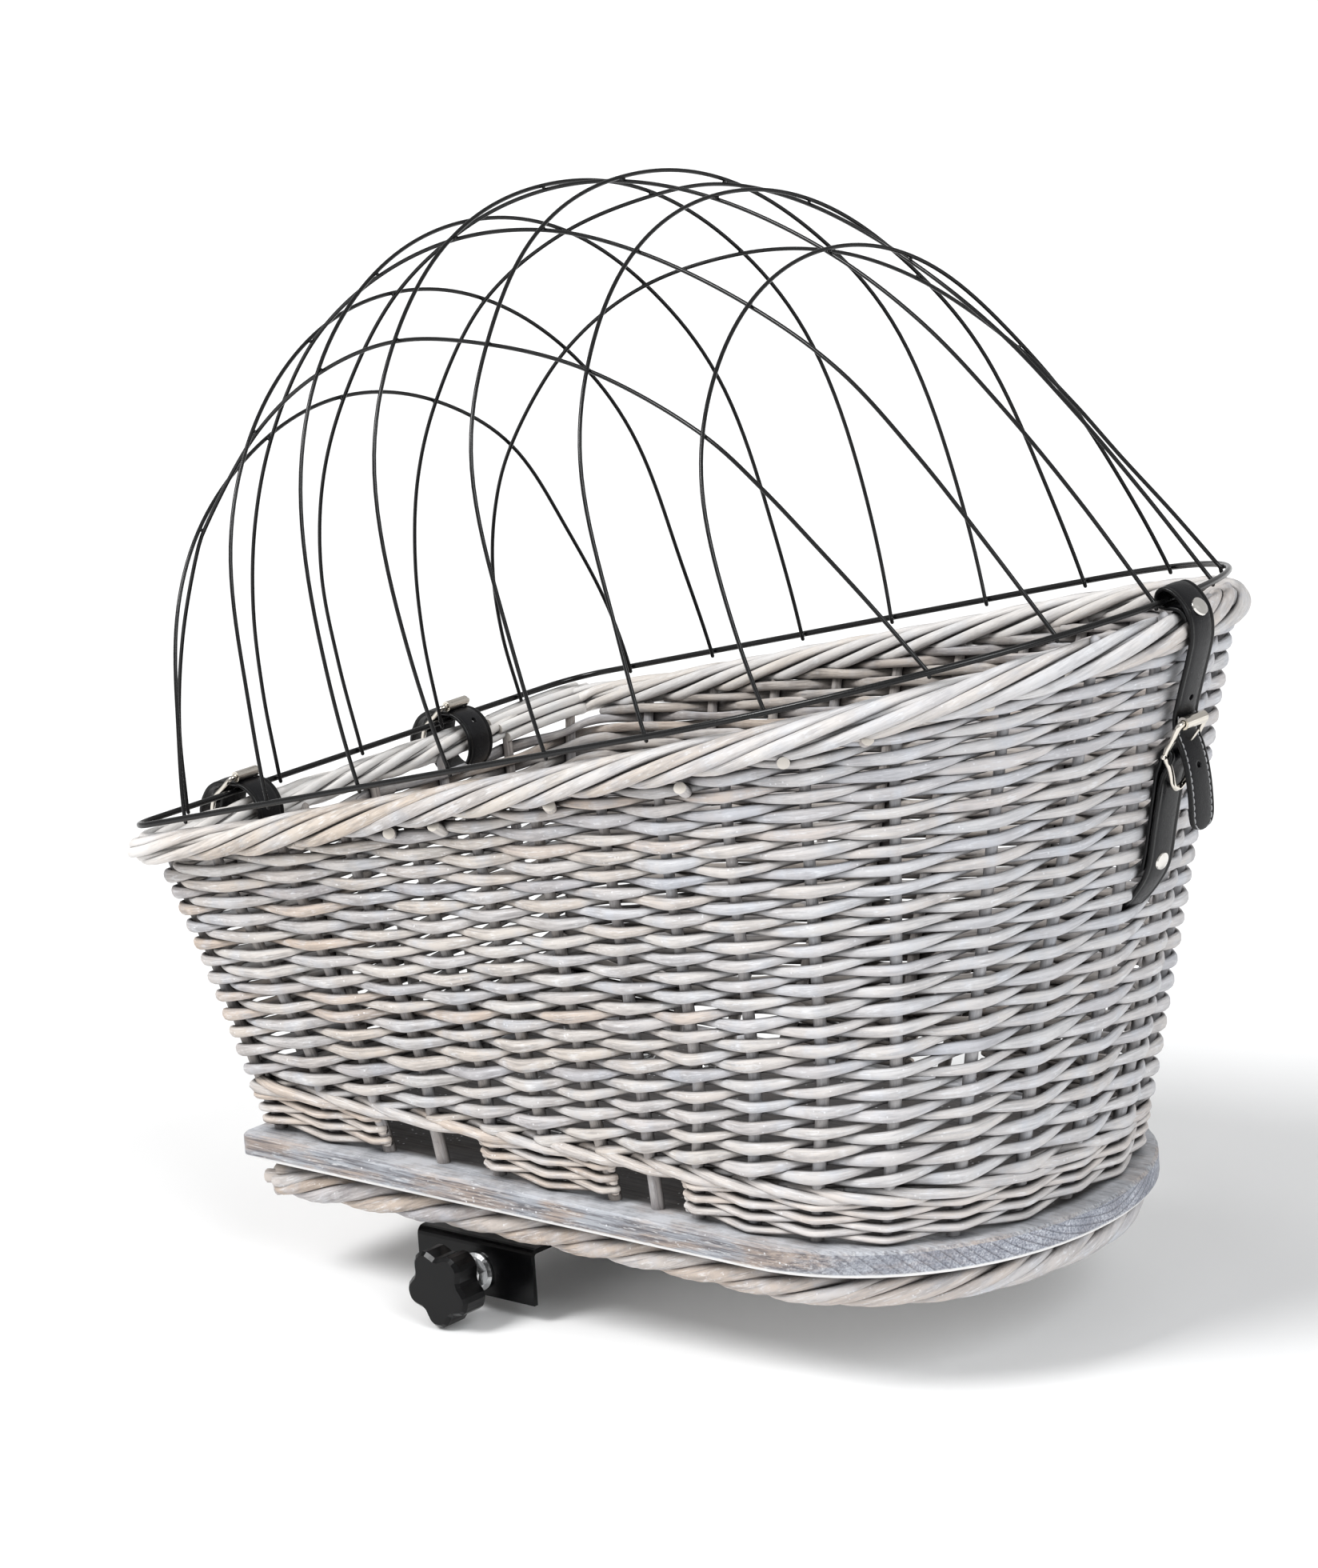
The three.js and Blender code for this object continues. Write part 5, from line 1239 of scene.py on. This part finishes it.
_upper = [(366.6, 327.2), (365.4, 329.9), (363.0, 331.9), (359.5, 332.3), (355.1, 332.1), (351.4, 333.2), (350.6, 336.4), (351.9, 339.4), (355.2, 340.9), (359.4, 339.8),
          (363.6, 336.6), (367.3, 331.6), (369.0, 325.6), (368.9, 318), (366.6, 309.3), (363.4, 299.5), (360.3, 289.7), (358.0, 281.2), (358.2, 273.5), (360.9, 266.6), (363.0, 259), (364.3, 250.5), (364.9, 240), (364.7, 228.4)]
strap_piece("rear_tail_strap", _upper, 12.0, 9.0, 9, "lid", ("rear_strap_upper",), face=1,
            holes=[(361.1, 289.9, 0.95, -0.28, 1.4), (363.2, 258.4, 0.99, 0.15, 1.4)], stitch=(96, 400))
_lower = [(337.7, 207.5), (339.9, 215.5), (342.6, 228), (344.6, 238), (346.4, 246.5), (348.0, 254), (349.7, 260.6), *arc_line(352.8, 263.1, 2.9, 165, -12, 8),
          (353.4, 258.4), (350.7, 254.2), (348.9, 249.6), (347.6, 244), (346.2, 238), (343.4, 225.5), (340.2, 210.8), (337.4, 204.0), (333.0, 197.6), (326.8, 190.4), (318.4, 182.7), (309.0, 174.8)]
_lower = [(x - 1.0, z + 0.25) for x, z in _lower[:6]] + _lower[6:]
strap_piece("rear_fixed_strap", _lower, 12.0, 9.5, 0, "basket", ("rear_strap_lower",), face=1)
buckle_piece("rear", (352.8, 263.1), (362.4, 279.2), (351.7, 246.2), 12.0, 10.9, 1.5, 2.0,
             [(351.6, 260.0), (350.4, 261.4), (350.1, 264.2), (352.2, 266.0), (355.2, 266.2), (358.6, 268.0), (362.0, 271.2), (364.9, 274.6)],
             "basket", "roller_rear", "rear_buckle", 0.86)

# ------------------------------------------------------------------ CAD nodes that stay, with their finishes
for n_ in NODES:
    if n_ == "base_board" or n_ == "spacer_block":
        dress(n_, BOARD_MAT)
    elif n_ == "carrier_bracket":
        dress(n_, STEEL)
    elif n_.startswith("bracket_bolt") or n_.startswith("bracket_nut") or n_ in ("clamp_flange_nut", "clamp_screw"):
        dress(n_, ZINC)
    elif n_ == "clamp_knob":
        dress(n_, KNOB)
    elif n_ in ("bracket_liner", "pressure_pad"):
        dress(n_, RUBBER)
    elif n_.endswith("_roller"):
        dress(n_, NICKEL)
    elif "rivet" in n_:
        dress(n_, SILVER)

# ------------------------------------------------------------------ floor, light, camera
def stage():
    z = CAD_BOX[0][2] - 0.0015
    me = bpy.data.meshes.new("floor_mesh")
    rings, seg = [0.6, 1.5, 4.0, 12.0], 48
    verts = [(0.1, 0, z)]
    for r in rings:
        verts += [(0.1 + r * math.cos(2 * PI * i / seg), r * math.sin(2 * PI * i / seg), z) for i in range(seg)]
    faces = [(0, 1 + i, 1 + (i + 1) % seg) for i in range(seg)]
    for k in range(len(rings) - 1):
        faces += [(1 + k * seg + i, 1 + (k + 1) * seg + i, 1 + (k + 1) * seg + (i + 1) % seg, 1 + k * seg + (i + 1) % seg) for i in range(seg)]
    me.from_pydata(verts, [], faces)
    ob = bpy.data.objects.new("studio_floor", me)
    bpy.context.scene.collection.objects.link(ob)
    m, nt, b = material("floor_mat")
    g = N(nt)
    n = g.noise(g.coord(), 3.0, 2, 0.5)
    g.link(g.mix(g.range(n, 0.3, 0.7, 0.0, 1.0), srgb(242, 242, 242), srgb(246, 246, 246)), b.inputs["Base Color"])
    b.inputs["Roughness"].default_value = 0.9
    b.inputs["Specular IOR Level"].default_value = 0.1
    me.materials.append(m)


stage()
world = bpy.data.worlds.new("studio_world")
bpy.context.scene.world = world
world.use_nodes = True
bg = world.node_tree.nodes.get("Background")
bg.inputs[0].default_value = (1, 1, 1, 1)
wn = N(world.node_tree)
ray = wn.new("ShaderNodeLightPath")
wn.link(wn.range(ray.outputs["Is Camera Ray"], 0.0, 1.0, 0.50, 1.0), bg.inputs[1])


def area(name, loc, target, size, power, col=(1, 1, 1)):
    d = bpy.data.lights.new(name, "AREA")
    d.shape = "RECTANGLE"; d.size, d.size_y = size
    d.energy = power
    d.color = col
    o = bpy.data.objects.new(name, d)
    bpy.context.scene.collection.objects.link(o)
    o.location = loc
    o.rotation_euler = (Vector(target) - Vector(loc)).to_track_quat("-Z", "Y").to_euler()
    return o


def sun(name, direction, strength, angle, col=(1, 1, 1)):
    d = bpy.data.lights.new(name, "SUN")
    d.energy, d.angle, d.color = strength, math.radians(angle), col
    o = bpy.data.objects.new(name, d)
    bpy.context.scene.collection.objects.link(o)
    o.location = (0, 0, 2)
    o.rotation_euler = Vector(direction).to_track_quat("-Z", "Y").to_euler()
    return o


sun("key_light", (0.35, 0.85, -1.05), 2.45, 26)
sun("rear_side_light", (-0.9, 0.35, -0.7), 1.3, 30, (0.95, 0.98, 1.0))

cam_data = bpy.data.cameras.new("camera")
cam = bpy.data.objects.new("camera", cam_data)
bpy.context.scene.collection.objects.link(cam)
R = Matrix(((0.76064, -0.11837, 0.63829), (0.64609, 0.23373, -0.72659), (-0.06318, 0.96507, 0.25426)))
cam.matrix_world = Matrix.Translation((1.889746, -2.094529, 0.946710)) @ R.to_4x4()
cam_data.sensor_width = 36.0
cam_data.lens = 135.97
cam_data.clip_start, cam_data.clip_end = 0.05, 60.0
bpy.context.scene.camera = cam
bpy.context.scene.view_settings.view_transform = "Standard"
bpy.context.scene.view_settings.look = "None"
